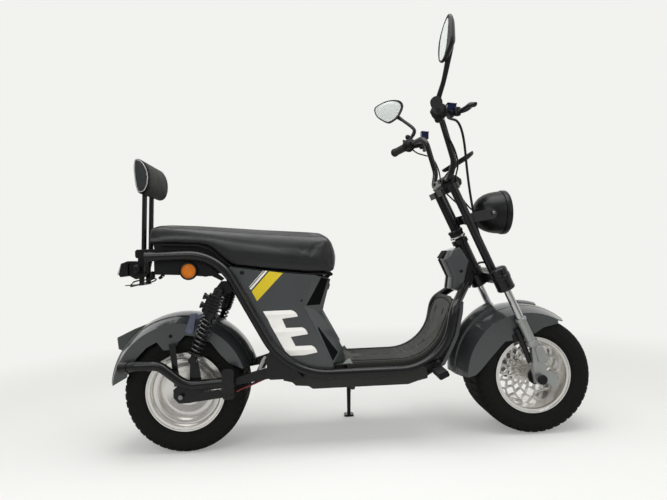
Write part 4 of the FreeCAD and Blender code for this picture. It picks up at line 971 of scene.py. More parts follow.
# %% Shell, rim and glass
MIRROR = [(1, 75), (13, 76), (23, 72), (38, 28), (54, -26), (51, -35), (36, -50), (17, -69), (-6, -77), (-22, -72),
          (-36, -52), (-45, -21), (-44, 16), (-22, 56)]
GLASS = [(4, 66), (11, 62), (18, 30), (21, -20), (17, -48), (6, -66), (-12, -70), (-25, -58), (-34, -20),
         (-34, 16), (-17, 52)]


def mirror(outline, window, centre, across, rise, hollow):
    """Shell and glass in a plane through the centre, domed by that many mm behind."""
    middle = spot(*centre)
    across, rise = Vector(across).normalized(), Vector(rise).normalized()
    front = across.cross(rise).normalized()
    rings = [(0.7, 0.8), (0.9, 0.8), (0.94, 3.0), (0.98, 3.0), (1.0, 0.5), (1.0, -4.0), (0.94, -10.0),
             (0.78, -0.75 * hollow), (0.5, -0.94 * hollow), (0.2, -hollow)]

    def layer(line, share, depth):
        return [middle + (across * u * share + rise * v * share + front * depth) * MM for u, v in rounded(line, 1)]

    return skinned(*[layer(outline, k, d) for k, d in rings]), skinned(*[layer(window, 1, d) for d in (1.8, 0.4)])


right_shell, right_glass = mirror(MIRROR, GLASS, (923.5, -336, 1372), (0.16, -0.985, 0.0), (0.15, 0.03, 0.988), 24)
left_line = [(66, 12), (60, 38), (36, 52), (-10, 54), (-58, 36), (-72, 22), (-66, -6), (-52, -26), (-12, -54), (6, -56),
             (42, -34)]
left_glass_line = [(u * 0.87 - 3, v * 0.87) for u, v in left_line]
left_shell, left_glass = mirror(left_line, left_glass_line, (846, 322, 1328), (0.93, -0.36, 0.0),
                                (0.05, 0.12, 0.99), 24)
arms = [stalk([(915, -260, 1178), (915, -262, 1204), (927, -288, 1252), (936, -326, 1318), (939, -342, 1344)],
              [8, 9, 8, 9.5, 10]),
        stalk([(913, 260, 1178), (938, 262, 1206), (941, 263, 1232), (905, 300, 1278), (878, 326, 1308)],
              [8, 8.5, 7.5, 7, 10])]
balls = [turned((913, side * 262, 1188), (913, side * 262, 1208),
                [(0, 0), (0, 8), (3, 10), (8, 11), (13, 10), (17, 7), (18, 0)]) for side in SIDES]
piece("mirror_shells", [right_shell, left_shell] + arms + balls, "steering",
      satin_paint, edge=40, stands_for=["mirrors"], slot="dark_plastic")
made = piece("mirror_faces", [right_glass, left_glass], "steering", mirror_face,
             stands_for=["mirror_glass"], slot="mirror_face")
print("mirrors:", len(made.data.polygons), "faces of glass")

# %% [markdown]
# ## Headlight
#
# A spun steel bucket in satin black, with a rolled rim that holds the glass.  Inside is a chromed
# bowl with the bulb at its middle, which is what makes a lamp look like a lamp from the front.

# %% Bucket, bowl and bulb
LAMP = spot(1105.2, 0, 830.8)
AHEAD = Vector((1, 0, 0))
BUCKET = [(0, 0), (0.5, 16), (4, 30), (12, 46), (25, 60), (41, 70), (60, 76.8), (80, 80.6), (99, 82.4), (101.5, 82.4),
          (102.2, 81), (103.4, 81), (104.2, 84.6), (106, 85.5), (119, 85.5), (123, 84.6), (125.5, 82.4), (126.2, 79.6),
          (125, 77.6), (118, 77.2), (110, 71.5), (98, 60), (84, 42), (74, 22), (69, 0)]
piece("headlight_bucket", swept(BUCKET, LAMP, AHEAD, ACROSS, 96), "steering", satin_paint,
      stands_for=["headlight"], slot="black_paint")
BOWL = [(72, 0), (75, 18), (84, 38), (97, 56), (109, 68), (117.5, 74.6), (118.3, 74.2), (110, 66.5), (98, 54.5),
        (85.2, 36), (76.6, 17), (73.2, 0)]
piece("headlight_bowl", swept(BOWL, LAMP, AHEAD, ACROSS, 72), "steering", chrome, slot="chrome")
BULB = [(73, 0), (73, 11), (79, 11), (80, 8), (92, 8), (99, 6), (102, 0)]
piece("headlight_bulb", swept(BULB, LAMP, AHEAD, ACROSS, 24), "steering", clear_lens, slot="clear_lens")
print("headlight:", len(BUCKET), "rings")

# %% [markdown]
# ## Yokes and head bearing
#
# The lower yoke is a casting with a rounded cap on each barrel, through which the fork tubes pass.
# A chromed ring and a thick black nut close the head bearing above it.

# %% Caps, ring and nut
caps = []
for side in SIDES:
    y = side * 143
    caps.append(turned(at_head(23, 38, y), at_head(40, 38, y),
                       [(0, 0), (0, 31.4), (2.5, 31.4), (6, 29.5), (9, 25), (11, 18), (12, 0)]))
    caps.append(turned(at_head(-46, 38, y), at_head(-60, 38, y),
                       [(-2, 14.6), (-2, 32.6), (3, 32.4), (6.5, 30), (9, 25), (9.6, 14.6)]))
    caps.append(turned(at_head(-12, 38, y), at_head(6, 38, y),
                       [(0, 31), (0.4, 33.2), (2, 34), (16, 34), (17.6, 33.2), (18, 31)]))
piece("yoke_caps", caps, "steering", black_paint, slot="black_paint")
ring = turned(at_head(178), at_head(190), [(0, 25), (0, 29), (1.5, 31), (7, 31), (8.5, 29), (8.5, 25)])
nut = turned(at_head(199), at_head(214),
             [(0, 24), (0, 27.5), (1.5, 29), (9, 29), (11, 27), (11.5, 16), (11, 15)])
piece("head_ring", ring, "steering", chrome, slot="chrome")
piece("head_nut", nut, "steering", satin_paint, slot="black_paint")

# %% [markdown]
# ## Levers, switches and grip ends
#
# Each brake lever is a cast blade, broad where the finger lies and tapering to its tip.  Push
# buttons stand on the switch housing, which meets the grip with a flange.

# %% Controls on both sides
def along_bar(d, side):
    """Point d mm in from the end of the handlebar."""
    return 875 + 0.3183 * d, side * (380 - 0.9471 * d), 1153 + 0.0422 * d


housings, blades, knobs, buttons, cups = [], [], [], [], []
for side in SIDES:
    housings.append(turned(along_bar(119, side), along_bar(162, side),
                           [(0, 11.4), (0, 25), (2.5, 28), (13, 28), (15, 26.5), (16.5, 21), (38, 21), (41, 18),
                            (43, 11.4)], 48))
    housings.append(stalk([(922, side * 246, 1159), (942, side * 246, 1158), (966, side * 250, 1157)],
                          [13, 10, 11], flat=0.8))
    housings.append(stalk([(908, side * 252, 1142), (915, side * 240, 1136), (925, side * 228, 1140)],
                          [8, 11, 8]))
    blades.append(stalk([(972, side * 262, 1156), (986, side * 270, 1156), (999, side * 290, 1158),
                         (1004, side * 320, 1160), (1006, side * 346, 1154), (1006, side * 360, 1153)],
                        [9, 10, 11.5, 11.5, 9.5, 6], flat=0.85))
    knobs.append(turned((976, side * 262, 1142), (976, side * 262, 1172),
                        [(0, 0), (0, 8), (2, 12), (26, 12), (28, 10), (28, 5), (26.5, 4.6), (26.5, 0)], 24))
    knobs.append(turned((930, side * 268, 1157), (972, side * 219, 1155),
                        [(0, 0), (0, 9), (3, 12.5), (46, 12.5), (49, 10), (58, 10), (60, 7), (66, 7), (66, 0)], 32))
    for dx, dz, r in ((-16, 13, 5), (-17, -2, 6), (-10, -17, 4.5)):
        buttons.append(turned((916 + dx * 0.7, side * 258, 1161 + dz * 0.7),
                              (916 + dx * 1.6, side * 258, 1161 + dz * 1.6),
                              [(0, 0), (0, r), (17, r), (18.5, r - 1.2), (18.5, 0)], 20))
for name, meshes, finishing, stands in (("switch_housings", housings, dark_plastic, ["controls"]),
                                        ("brake_levers", blades, black_paint, ()),
                                        ("lever_pivots", knobs, satin_paint, ()),
                                        ("switch_buttons", buttons, grip_rubber, ())):
    piece(name, meshes, "steering", finishing, edge=40, stands_for=stands, slot="dark_plastic")
print("levers:", len(blades))

# %% Fluid cups
for side, (x, z) in ((-1, (960, 1158)), (1, (982, 1182))):
    y0, y1 = sorted((side * 227, side * 257))
    cups.append(slab([(x - 16, z), (x + 16, z - 3), (x + 17, z + 24), (x - 13, z + 28)], y0, y1))
    cups.append(slab([(x - 15, z + 28.6), (x + 19, z + 24.6), (x + 19, z + 28), (x - 14, z + 32)],
                     y0 - 1.5, y1 + 1.5))
    cups.append(slab([(x - 9, z - 12), (x + 9, z - 12), (x + 9, z + 1), (x - 9, z + 1)], y0 + 8, y1 - 8))
softened(piece("fluid_cup_blocks", cups, "steering", blue_anodised, slot="blue_anodised",
               stands_for=["fluid_cups"]), 3, 3)

# %% Clamp of the handlebar
CLAMP = [(966, 958), (982, 972), (1022, 974), (1044, 958), (1046, 940), (1026, 917), (994, 907), (965, 932)]
softened(piece("bar_clamp", slab(CLAMP, -66, 66), "steering", black_paint, slot="black_paint"), 5, 3)

# %% [markdown]
# ## Instrument
#
# The face of the instrument is smoked glass in a raised bezel.  Fine marks run round it, laid by
# the tree that turns copies round an axle, and then tilted into place with the whole dial.

# %% Dial
DIAL = spot(1053, 0, 1032)
NORMAL = Vector((-0.5, 0, 0.866))
piece("dial_glass", swept([(6.7, 0), (8.4, 20), (7.6, 58), (6.7, 59.6)], DIAL, NORMAL,
                          Vector((0.866, 0, 0.5)), 64), "steering", screen_glass, slot="dark_plastic")
MARKS = 48
mark = placed("mark", skinned(*[[Vector((x, y, z)) * MM for x, z in ((50, -0.5), (56, -0.5), (56, 0.5), (50, 0.5))]
                                for y in (0, 0.5)]))
marks = baked(round_tree, Pattern=mark, Count=MARKS, Axle=Vector((0, 0, 0)), Finish=white_trim)
tilt = Matrix.Translation(DIAL + NORMAL * 8.0 * MM) @ ACROSS.rotation_difference(NORMAL).to_matrix().to_4x4()
marks.transform(tilt)
piece("dial_marks", marks, "steering", white_trim, slot="white_trim")
print("dial marks:", MARKS)

# %% [markdown]
# ## Raised beads laid by Geometry Nodes
#
# Ribs on the floor mat, the rounded bars of the front wheel and the light beads that paint the
# highlight on panel edges are all round beads that follow a line.  This tree takes a wire of edges,
# turns it into a curve, gives it a round section of the asked size, makes it real and dresses it.

# %% A tree that runs a bead along a wire
bead_tree, given = new_tree("bead along a wire", ("Wire", "NodeSocketObject"), ("Radius", "NodeSocketFloat"),
                            ("Finish", "NodeSocketMaterial"))
wire = add(bead_tree, "GeometryNodeObjectInfo", {"Object": given["Wire"]}).outputs["Geometry"]
curve = add(bead_tree, "GeometryNodeMeshToCurve", {"Mesh": wire}).outputs["Curve"]
ring = add(bead_tree, "GeometryNodeCurvePrimitiveCircle", {"Resolution": 8, "Radius": given["Radius"]}).outputs["Curve"]
skin = add(bead_tree, "GeometryNodeCurveToMesh", {"Curve": curve, "Profile Curve": ring, "Fill Caps": True})
close_tree(bead_tree, skin.outputs["Mesh"], given)


def beads(lines, radius, material):
    """Bake beads of that radius in mm along lines of points in metres."""
    corners, edges = [], []
    for line in lines:
        start = len(corners)
        corners += [tuple(p) for p in line]
        edges += [(start + i, start + i + 1) for i in range(len(line) - 1)]
    mesh = bpy.data.meshes.new("wire")
    mesh.from_pydata(corners, edges, [])
    return baked(bead_tree, Wire=placed("wire", mesh), Radius=radius * MM, Finish=material)


# %% [markdown]
# ## Front wheel mesh
#
# The front wheel is the showpiece.  Its cast mesh has three rows of pointed windows, each row half
# a pitch from the last.  The solid has the windows; the bars between them are rounded here, so
# that each catches its own line of light.  One sector is drawn, and the tree turns it fifteen
# times round the axle.

# %% Rounded bars of the mesh
BARS_ABOUT = 15


def polar(r, turn, y):
    """Point at a radius in mm and a turn in pitches of the mesh, about the origin."""
    a = 2 * math.pi * turn / BARS_ABOUT
    return Vector((r * math.cos(a), y, r * math.sin(a))) * MM


sector = []
for y in (5.2, 16.8):
    for side in SIDES:
        for run in ([(54.5, 0.5), (60, 0.22), (66.5, 0)], [(74.5, 0), (82, 0.21), (91.5, 0.5)],
                    [(100.5, 0.5), (109, 0.24), (119, 0.04)]):
            sector.append([polar(r, turn * side, y) for r, turn in run])
    for run in ([(32, 0.5), (54.5, 0.5)], [(66.5, 0), (74.5, 0)], [(91.5, 0.5), (100.5, 0.5)]):
        sector.append([polar(r, turn, y) for r, turn in run])
bars = placed("bars", beads(sector, 2.7, mesh_polish))
mesh = baked(round_tree, Pattern=bars, Count=BARS_ABOUT, Axle=FRONT_AXLE, Finish=mesh_polish)
made = piece("wheel_mesh_bars", mesh, "front_wheel", mesh_polish, slot="polished_alloy", edge=60)
print("mesh bars:", len(made.data.polygons), "faces")

# %% [markdown]
# ## Floor mat
#
# The mat is moulded rubber on the stepped floor.  Long ribs follow its length as the floor bends
# up to the apron, two dark edge beads frame it, their darker rubber a painted shade of the groove
# at its edge, and dark lozenges on it paint the shade of drain slots.

# %% Ribs, edge and slots of the mat
MAT_X, MAT_Z = 590, 302.5               # where the mat starts
FLAT = 185                              # mm of flat floor before the bend
BEND_R, BEND = 171, math.radians(66.7)  # radius and angle of the bend
BEND_Z = 472                            # height of its centre
MAT_END = FLAT + BEND_R * BEND + 118
STRAIGHT = MAT_END - 30                 # where the edge's rounded end starts


def on_floor(s, y, lift=0.0):
    """Point s mm along the floor from its rear end, on the mat's top face raised by some mm."""
    if s < FLAT:
        return spot(MAT_X + s, y, MAT_Z + lift)
    radius = BEND_Z - MAT_Z - lift
    a = min((s - FLAT) / BEND_R, BEND)
    more = s - FLAT - BEND_R * a
    return spot(MAT_X + FLAT + radius * math.sin(a) + more * math.cos(a), y,
                BEND_Z - radius * math.cos(a) + more * math.sin(a))


ribs = []
for y, first, last in ((0, 60, 330), (20, 46, 352), (40, 34, 372), (58, 24, 386), (76, 14, 400), (92, 8, 412)):
    for side in (SIDES if y else (1,)):
        ribs.append([on_floor(first + (last - first) * k / 60, side * (y + 5 * math.sin(k / 60 * 3.1)), 0.2)
                     for k in range(61)])
for x0 in (100, 150, 200, 250, 300):
    ribs.append([on_floor(x0 + 18 * math.cos(t * math.pi / 12), -14 + 28 * t / 24, 0.2) for t in range(25)])
piece("mat_ribs", beads(ribs, 1.5, mat_rubber), "frame", mat_rubber, slot="mat_rubber", edge=60)
lines = []
for y in (110, 121):
    way_out = [on_floor(4 + (STRAIGHT - 4) * k / 60, -y, 0.6) for k in range(61)]
    end = [on_floor(STRAIGHT + 24 * math.sin(t * math.pi / 12), -y * math.cos(t * math.pi / 12), 0.6)
           for t in range(1, 12)]
    lines.append(way_out + end + [on_floor(STRAIGHT - (STRAIGHT - 4) * k / 60, y, 0.6) for k in range(61)])
piece("mat_edge", beads(lines, 2.0, groove_shade_rubber), "frame", groove_shade_rubber, slot="mat_rubber", edge=60)
print("ribs:", len(ribs))


# %% Dark lozenges on the mat that paint the shade of its drain slots
def lozenge(s, y, long, wide):
    """Rounded dark lozenge on the mat, the painted shade of a slot, its long way along the floor."""
    rings = []
    for lift in (0.9, -0.5):
        ring = []
        for k in range(16):
            a = 2 * math.pi * k / 16
            push = math.copysign(long / 2 - wide / 2, math.cos(a))
            ring.append(on_floor(s + push + wide / 2 * math.cos(a), y + wide / 2 * math.sin(a), lift))
        rings.append(ring)
    return skinned(*rings)


# Each lozenge is painted slot shade, not a cut
slot_shades = [lozenge(s, side * y, 26, 9) for side in SIDES for s, y in ((446, 52), (30, 92), (30, 40), (170, 103))]
piece("mat_slots", slot_shades, "frame", groove_shade_rubber, slot="mat_rubber")

# %% [markdown]
# ## Seat box
#
# The panels and the moulding under the seat's nose are faceted like cut stone: a flat side, then
# a facet that turns in to a narrower front.  The shell is drawn as one folded sheet with an inner
# face, so its edges are real.  A black strip is set into each upper facet.  Down the lower one run
# a tapering near-black sheet, the painted shade of a recess, and a pale line, a painted highlight
# along its outer edge.  A light cast-alloy bead along the panel's rear border paints the highlight
# of that edge, and a bright strip closes its foot where the mat begins.

# %% Folded shell
SIDE = [(172, 657.5), (188, 657.5), (296, 640.5), (440, 623.5), (478, 620), (436, 510), (532, 303), (534, 283),
        (500, 283), (435, 292), (377, 322), (329, 366), (300, 412)]
MIDDLE = [(508, 618), (535, 601), (508, 508), (502, 482), (570, 352), (578, 299.3)]


def facet(window, lift, thick, a, b, c, d, steps=8):
    """Sheet on the twisted facet between edges a-b and c-d, all in mm.  The window has four
    corners, each as shares of the way across and down."""
    a, b, c, d = (spot(*p) for p in (a, b, c, d))
    outward = (b - a).cross(c - a).normalized()
    if outward.x < 0:
        outward.negate()
    (u0, v0), (u1, v1), (u2, v2), (u3, v3) = window
    corners, faces = [], []
    for layer in (lift, lift - thick):
        for i in range(steps + 1):
            for j in range(steps + 1):
                s, t = i / steps, j / steps
                u = (u0 * (1 - s) + u1 * s) * (1 - t) + (u3 * (1 - s) + u2 * s) * t
                v = (v0 * (1 - s) + v1 * s) * (1 - t) + (v3 * (1 - s) + v2 * s) * t
                corners.append(a.lerp(b, v).lerp(c.lerp(d, v), u) + outward * layer * MM)
    row = steps + 1
    back = row * row
    for i in range(steps):
        for j in range(steps):
            k = i * row + j
            faces += [[k, k + 1, k + row + 1, k + row], [back + k, back + k + row, back + k + row + 1, back + k + 1]]
    ring = list(range(steps)) + [i * row + steps for i in range(steps)]
    ring += [steps * row + steps - j for j in range(steps)] + [(steps - i) * row for i in range(steps)]
    faces += [[ring[k], ring[(k + 1) % len(ring)], back + ring[(k + 1) % len(ring)], back + ring[k]]
              for k in range(len(ring))]
    return built(corners, faces)


def wedge(*points):
    """Flat triangle of sheet 3 mm thick, its corners in mm."""
    p, q, r = (spot(*point) for point in points)
    outward = (q - p).cross(r - p).normalized()
    if outward.x < 0:
        outward.negate()
    corners = [p, q, r] + [v - outward * 3 * MM for v in (p, q, r)]
    return built(corners, [[0, 1, 2], [5, 4, 3], [0, 1, 4, 3], [1, 2, 5, 4], [2, 0, 3, 5]])


WHOLE = [(0, 0), (1, 0), (1, 1), (0, 1)]
STRIP = [(0.42, 0.02), (0.84, 0.02), (0.78, 0.97), (0.1, 0.97)]
# Where a recess would be, a near-black sheet just proud of the facet paints its shade
RECESS_SHADE = [(0.16, 0.4), (0.24, 0.36), (0.6, 0.97), (0.06, 0.97)]
# A thin pale strip along the lower facet's outer edge: a painted highlight
CREASE_HIGHLIGHT = [(0.03, 0.02), (0.06, 0.02), (0.03, 0.98), (0.0, 0.98)]
shells, inset_and_recess_shade, crease_highlights = [], [], []
for side in SIDES:
    y0, y1 = sorted((side * PANEL_Y, side * (PANEL_Y - 3)))
    edge, mid = side * (PANEL_Y - 0.1), side * 89.4
    brow, waist, foot = (478, edge, 620), (436, edge, 510), (532, edge, 303)
    m = [(x, mid, z) for x, z in MIDDLE]
    upper, lower = (brow, waist, m[1], m[2]), (waist, foot, m[3], m[4])
    shells += [slab(SIDE, y0, y1), facet(WHOLE, 0, 3, *upper), facet(WHOLE, 0, 3, *lower),
               wedge(brow, m[0], m[1]), wedge(waist, m[2], m[3]), wedge(foot, m[4], m[5])]
    inset_and_recess_shade += [facet(STRIP, 0.9, 1.4, *upper), facet(RECESS_SHADE, 0.8, 1.4, *lower)]
    crease_highlights.append(facet(CREASE_HIGHLIGHT, 1.4, 2.0, *lower))
front = [(x - 2.5, z) for x, z in MIDDLE] + [(x - 6, z) for x, z in reversed(MIDDLE)]
shells.append(slab(front, -90, 90))
piece("seat_box_shell", shells, "frame", grey_panel, edge=25,
      stands_for=["seat_box_sides", "seat_box_front"], slot="grey_panel")
# Black strips on the upper facets, and painted recess shade on the lower ones
piece("seat_box_insets", inset_and_recess_shade, "frame", insert_and_shade_black, slot="dark_plastic")
# The lighter grey-blue metal here is a painted highlight on the crease
piece("seat_box_creases", crease_highlights, "frame", lilac_anodised, slot="grey_panel")
TRIM = [(566, 299.6), (577, 309), (592, 317), (603, 299.6)]
pair = [slab(TRIM, side * 131, side * 135) for side in SIDES]
piece("box_foot_trim", pair, "frame", cast_alloy, slot="cast_alloy")
# Light silver beads along the panel's rear border: a painted highlight of its edge
BORDER = [[(302, 411), (331, 364.5), (379, 320.5), (436, 292)], [(240, 541), (268, 481), (300, 414)]]
edge_highlight_beads = beads([dense([spot(x, side * (PANEL_Y - 0.3), z) for x, z in line], 12)
                for side in SIDES for line in BORDER], 2.2, cast_alloy)
piece("panel_edging", edge_highlight_beads, "frame", cast_alloy, edge=60, slot="cast_alloy")
print("seat box:", len(shells), "sheets")

# %% Lock and hinge
lock = turned((517, 0, 573), (536, 0, 567),
              [(0, 0), (0, 14), (13, 14), (16, 12), (17.5, 9), (17.5, 3), (15, 2.5), (15, 0)])
piece("seat_lock", lock, "frame", satin_paint, slot="black_paint")
TAB = [(514, 604), (530, 603), (545, 618), (538, 623), (518, 612)]
hinge = [slab(TAB, -36, 36),
         turned((540, -36, 618), (540, 36, 618), [(0, 0), (0, 6), (72, 6), (72, 0)], 24),
         turned((540, -64, 618), (540, 64, 618), [(0, 0), (0, 2.9), (128, 2.9), (128, 0)], 24)]
piece("seat_hinge", hinge, "frame", satin_paint, slot="black_paint")

# %% [markdown]
# ## Head cover
#
# The cover over the head tube is one lacquered moulding with chamfered edges.  Towards the rider
# it carries a slot, drawn as a near-black plate that paints its shade, and a narrow black spine
# below it, and a bolt holds each side.

# %% Cover, with the painted shade of its slot and the black spine
COVER = [(1031, 701), (1062, 646), (1045, 582), (1031, 531)]
RIDER = [(985, 545), (992, 590), (964, 655), (984, 690)]
HALF = [(16, 0.5, 0), (34, 2.5, 0), (48, 7, 0), (56, 13, 1), (60, 20, 3)]     # y, pull and trim
rings = [[spot(x - trim, y, z) for x, z in COVER] + [spot(x + pull, y, z) for x, z in RIDER]
         for y, pull, trim in [(-y, pull, trim) for y, pull, trim in reversed(HALF)] + HALF]
softened(piece("head_shell", skinned(*rings), "frame", grey_panel, slot="grey_panel", edge=31,
               stands_for=["head_cover"]), 2, 2, limit_method="ANGLE")
# The slot is a near-black plate on the upper facet: painted shade
SLOT_SHADE = [(986, 687), (966, 661), (963.4, 662.5), (983.4, 690)]
SPINE = [(962.2, 660), (962.4, 653), (990.4, 590), (983.4, 547), (987, 546), (994, 590.4), (967, 655)]
wide = [slab(SLOT_SHADE, -34, 34), slab(SPINE, -9, 9)]
piece("head_cover_insert", wide, "frame", insert_and_shade_black, slot="dark_plastic")

# %% [markdown]
# ## Screws by Geometry Nodes
#
# Screws hold the mudguards, covers, clamps and pivots.  One button-head screw with a hexagon
# socket is modelled at the origin.  The tree puts it on every point of a small cloud and turns it
# to the direction that the point carries, so a new screw is one line in a table.

# %% Screw and tree
def screw_head():
    """Button head of 10 mm with a hexagon socket, its axis along Z, in metres."""
    rings = []
    for r, z, hexagon in ((5.0, 0.0, False), (5.0, 1.6, False), (4.2, 2.6, False), (2.9, 3.1, False),
                          (2.3, 3.0, True), (2.2, 1.2, True)):
        ring = []
        for k in range(12):
            a = 2 * math.pi * k / 12
            reach = r * math.cos(math.pi / 6) / math.cos((a % (math.pi / 3)) - math.pi / 6) if hexagon else r
            ring.append(Vector((reach * math.cos(a), reach * math.sin(a), z)) * MM)
        rings.append(ring)
    return skinned(*rings)


screw_tree, given = new_tree("screws on points", ("Screw", "NodeSocketObject"), ("Places", "NodeSocketObject"),
                             ("Finish", "NodeSocketMaterial"))
one = add(screw_tree, "GeometryNodeObjectInfo", {"Object": given["Screw"]}).outputs["Geometry"]
cloud = add(screw_tree, "GeometryNodeObjectInfo", {"Object": given["Places"]}).outputs["Geometry"]
facing = add(screw_tree, "GeometryNodeInputNamedAttribute", {"Name": "facing"}, data_type="FLOAT_VECTOR")
size = add(screw_tree, "GeometryNodeInputNamedAttribute", {"Name": "size"}, data_type="FLOAT")
turn = add(screw_tree, "FunctionNodeAlignRotationToVector", {"Vector": facing.outputs["Attribute"]}, axis="Z")
copies = add(screw_tree, "GeometryNodeInstanceOnPoints", {"Points": cloud, "Instance": one,
                                                          "Rotation": turn.outputs["Rotation"],
                                                          "Scale": size.outputs["Attribute"]})
close_tree(screw_tree, copies.outputs["Instances"], given)


def screws(name, body, table, material, slot):
    """Screws from a table of (x, y, z, facing, size)."""
    mesh = bpy.data.meshes.new("places")
    mesh.from_pydata([tuple(spot(x, y, z)) for x, y, z, _, _ in table], [], [])
    for label, kind in (("facing", "FLOAT_VECTOR"), ("size", "FLOAT")):
        mesh.attributes.new(label, kind, "POINT")
    for i, (*_, way, big) in enumerate(table):
        mesh.attributes["facing"].data[i].vector = way
        mesh.attributes["size"].data[i].value = big
    mesh = baked(screw_tree, Screw=placed("screw", screw_head()), Places=placed("places", mesh), Finish=material)
    return piece(name, mesh, body, material, slot=slot, edge=40)


# %% The table of screws
frame_screws = []
for side in SIDES:
    way = (0, side, 0)
    frame_screws += [(-39, side * 121.6, 423, way, 1.3), (-37, side * 121.6, 391, way, 1.3),
                     (222, side * 138.6, 639, way, 1.5), (428, side * 138.6, 532, way, 0.8),
                     (1030, side * 59.6, 611, way, 1.3), (72, side * 152.2, 239, way, 1.2),
                     (-8, side * 152.2, 212, way, 1.2)]
screws("frame_screws", "frame", frame_screws, satin_paint, "black_paint")
steering_screws = []
for side in SIDES:
    way = (0, side, 0)
    steering_screws += [(1150, side * 98, 824, way, 1.2), (1066, side * 94.2, 806, way, 1.1)]
screws("steering_screws", "steering", steering_screws, steel, "steel")
print("screws:", len(frame_screws) + len(steering_screws))

# %% [markdown]
# ## Belly tray
#
# The sheet tray under the floor has folded ends: its rear rises in a short flat and a slope, a
# rolled bead runs along each lower edge, and a rubber stop hangs below.

# %% Tray
TRAY = [(352, 262), (352, 246), (384, 238), (396, 226), (442, 222), (456, 212), (805, 212), (838, 222), (874, 230),
        (874, 262)]
outer = slab(TRAY, -118, 118)
bead = [slab([(458, 211.6), (803, 211.6), (803, 217), (458, 217)], side * 117, side * 119) for side in SIDES]
stop = turned((604, -60, 188), (604, -60, 216), [(0, 0), (0, 7), (2, 9), (28, 13), (28, 0)], 24)
softened(piece("belly_tray", [outer] + bead + [stop], "frame", belly_grey, slot="dark_plastic",
               stands_for=["belly_pan"]), 2, 2, limit_method="ANGLE")

# %% [markdown]
# ## Reflector bezels, tail bracket and wires
#
# A black ring frames each amber reflector.  At the tail a small indicator and its clips crowd the
# space between the lamp and the clamp block, with a slotted tab for a plate, which is bare.  Two
# wires, one red and one black, come out of the frame and run along the swing arm to the motor.

# %% Small things at the back
rings = [turned((37, side * 139.2, 651), (37, side * 149, 651),
                [(0, 25.6), (0, 31.5), (7, 31.5), (10, 30), (10.8, 27.5), (10, 25.6)], 64) for side in SIDES]
piece("reflector_bezels", rings, "frame", satin_paint, slot="dark_plastic")
tail = [slab([(-203, 640), (-196, 694), (-158, 690), (-150, 668), (-158, 640), (-180, 626)], -44, 44)]
for side in SIDES:
    tail.append(turned((-172, side * 40, 664), (-172, side * 66, 664),
                       [(0, 0), (0, 16), (16, 16), (21, 12), (22, 5), (22, 0)], 32))
    tail.append(stalk([(-136, side * 52, 700), (-128, side * 56, 672), (-138, side * 54, 648),
                       (-158, side * 50, 636)], [6, 7, 6.5, 5]))
    tail.append(stalk([(-118, side * 60, 652), (-112, side * 60, 634), (-126, side * 58, 622)], [7, 8, 5]))
    tail.append(stalk([(x, side * 46, z) for x, z in ((-199, 600), (-168, 606), (-138, 615), (-134, 622),
                                                      (-158, 622), (-186, 617), (-199, 602))],
                      [2.6] * 7, fine=4, sides=8))
piece("tail_cluster", tail, "frame", satin_paint, slot="black_paint")
for name, shift, material in (("motor_wire_red", 0, red_lens), ("motor_wire_black", 4, hose_rubber)):
    wire = stalk([(318, -118, 268 + shift), (276, -122, 252 + shift), (240, -124, 238 + shift),
                  (206, -122, 226 + shift), (186, -119, 216 + shift)], [2.6] * 5, sides=10)
    piece(name, wire, "frame", material, edge=60, slot="grip_rubber")

# %% [markdown]
# ## Axle nuts
#
# The front axle ends in two thick black rings, one for the bearing seal and one for the nut, seen
# from the side as a pair of dark circles.

# %% Rings at the front hub
rings = [turned((1275, -119, 217), (1275, -104, 217),
                [(0, 8.4), (0, 27), (2, 29), (9, 29), (11, 27.5), (11, 24)], 48)]
piece("hub_seal", rings, "front_wheel", satin_paint, slot="black_paint")
nuts = [turned((1275, side * 165.6, 217), (1275, side * 180, 217),
               [(0, 0), (0, 16), (1.5, 17.5), (7, 17.5), (9, 15.5), (9, 9), (8, 8.4), (8, 0)], 36) for side in SIDES]
piece("axle_nuts", nuts, "steering", satin_paint, slot="black_paint")

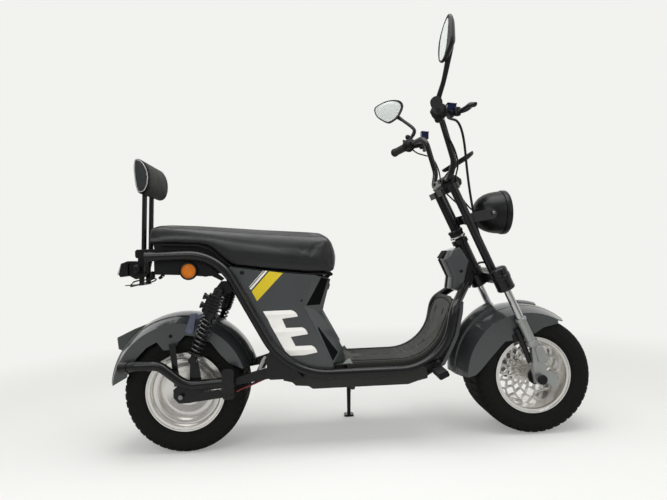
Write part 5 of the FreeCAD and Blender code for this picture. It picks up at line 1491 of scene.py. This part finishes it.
# %% [markdown]
# ## Hoses and cables
#
# The front brake hose runs from the right master cylinder down between the fork tubes, over the
# lower yoke and down the left leg to the caliper.  It is held at both ends, and its points are
# those of the CAD route.  The switch cables leave the housings, lie along the risers and end in
# the headlight.

# %% Hoses as smooth splines
def hose(name, points, diameter, stands_for=()):
    """Round cord on a NURBS spline through its control points in mm; returns its length."""
    made, run = round_line(name, [spot(*p) for p in points], diameter / 2, "NURBS", 4)
    run.order_u = 3
    run.use_endpoint_u = True
    run.resolution_u = 8
    made.data.materials.append(hose_rubber)
    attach(made, "steering")
    if stands_for:
        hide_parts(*stands_for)
    bare = made.data.copy()
    bare.bevel_depth = 0
    probe = placed("probe", bare)
    wire = frozen(probe)
    length = sum((wire.vertices[a].co - wire.vertices[b].co).length for a, b in (e.vertices for e in wire.edges))
    bpy.data.objects.remove(probe)
    return length


BRAKE_ROUTE = [(960.1, -219.2, 1155), (955.2, -191.9, 1154.4), (1036, -130, 1158), (1070, -60, 933),
               (1100.8, -60, 733.3), (1157.4, -60, 637.9), (1160, 185, 636.9), (1187.9, 185, 542.1),
               (1200.5, 171, 493.1), (1260.5, 163, 404.7), (1302.4, 138, 343.3), (1332.4, 120, 266.9)]
print("brake hose:", round(hose("front_brake_hose", BRAKE_ROUTE, 9, stands_for=["brake_hose"]), 3), "m")
CABLE = [(925, 246, 1142), (938, 226, 1118), (962, 176, 1098), (989, 140, 1080), (1007, 133, 1040),
         (1015, 128, 1000), (1009, 106, 962), (1014, 76, 930), (1044, 50, 890)]
for name, side, ends in (("switch_cable_right", -1, [(1080, 30, 850), (1104, 12, 838)]),
                         ("switch_cable_left", 1, [(1080, 30, 846), (1104, 12, 824)])):
    route = [(x, side * y, z) for x, y, z in CABLE + ends]
    print(name, round(hose(name, route, 6), 3), "m")

# %% [markdown]
# ## Finish
#
# The size of the dressed scooter must be that of its solids, so both boxes are kept to compare.

# %% Print both sizes
visual_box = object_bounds()
boxes = {"cad": [list(corner) for corner in cad_box], "visual": [list(corner) for corner in visual_box]}
for name, (lowest, highest) in boxes.items():
    print(name, [round(b - a, 4) for a, b in zip(lowest, highest)])
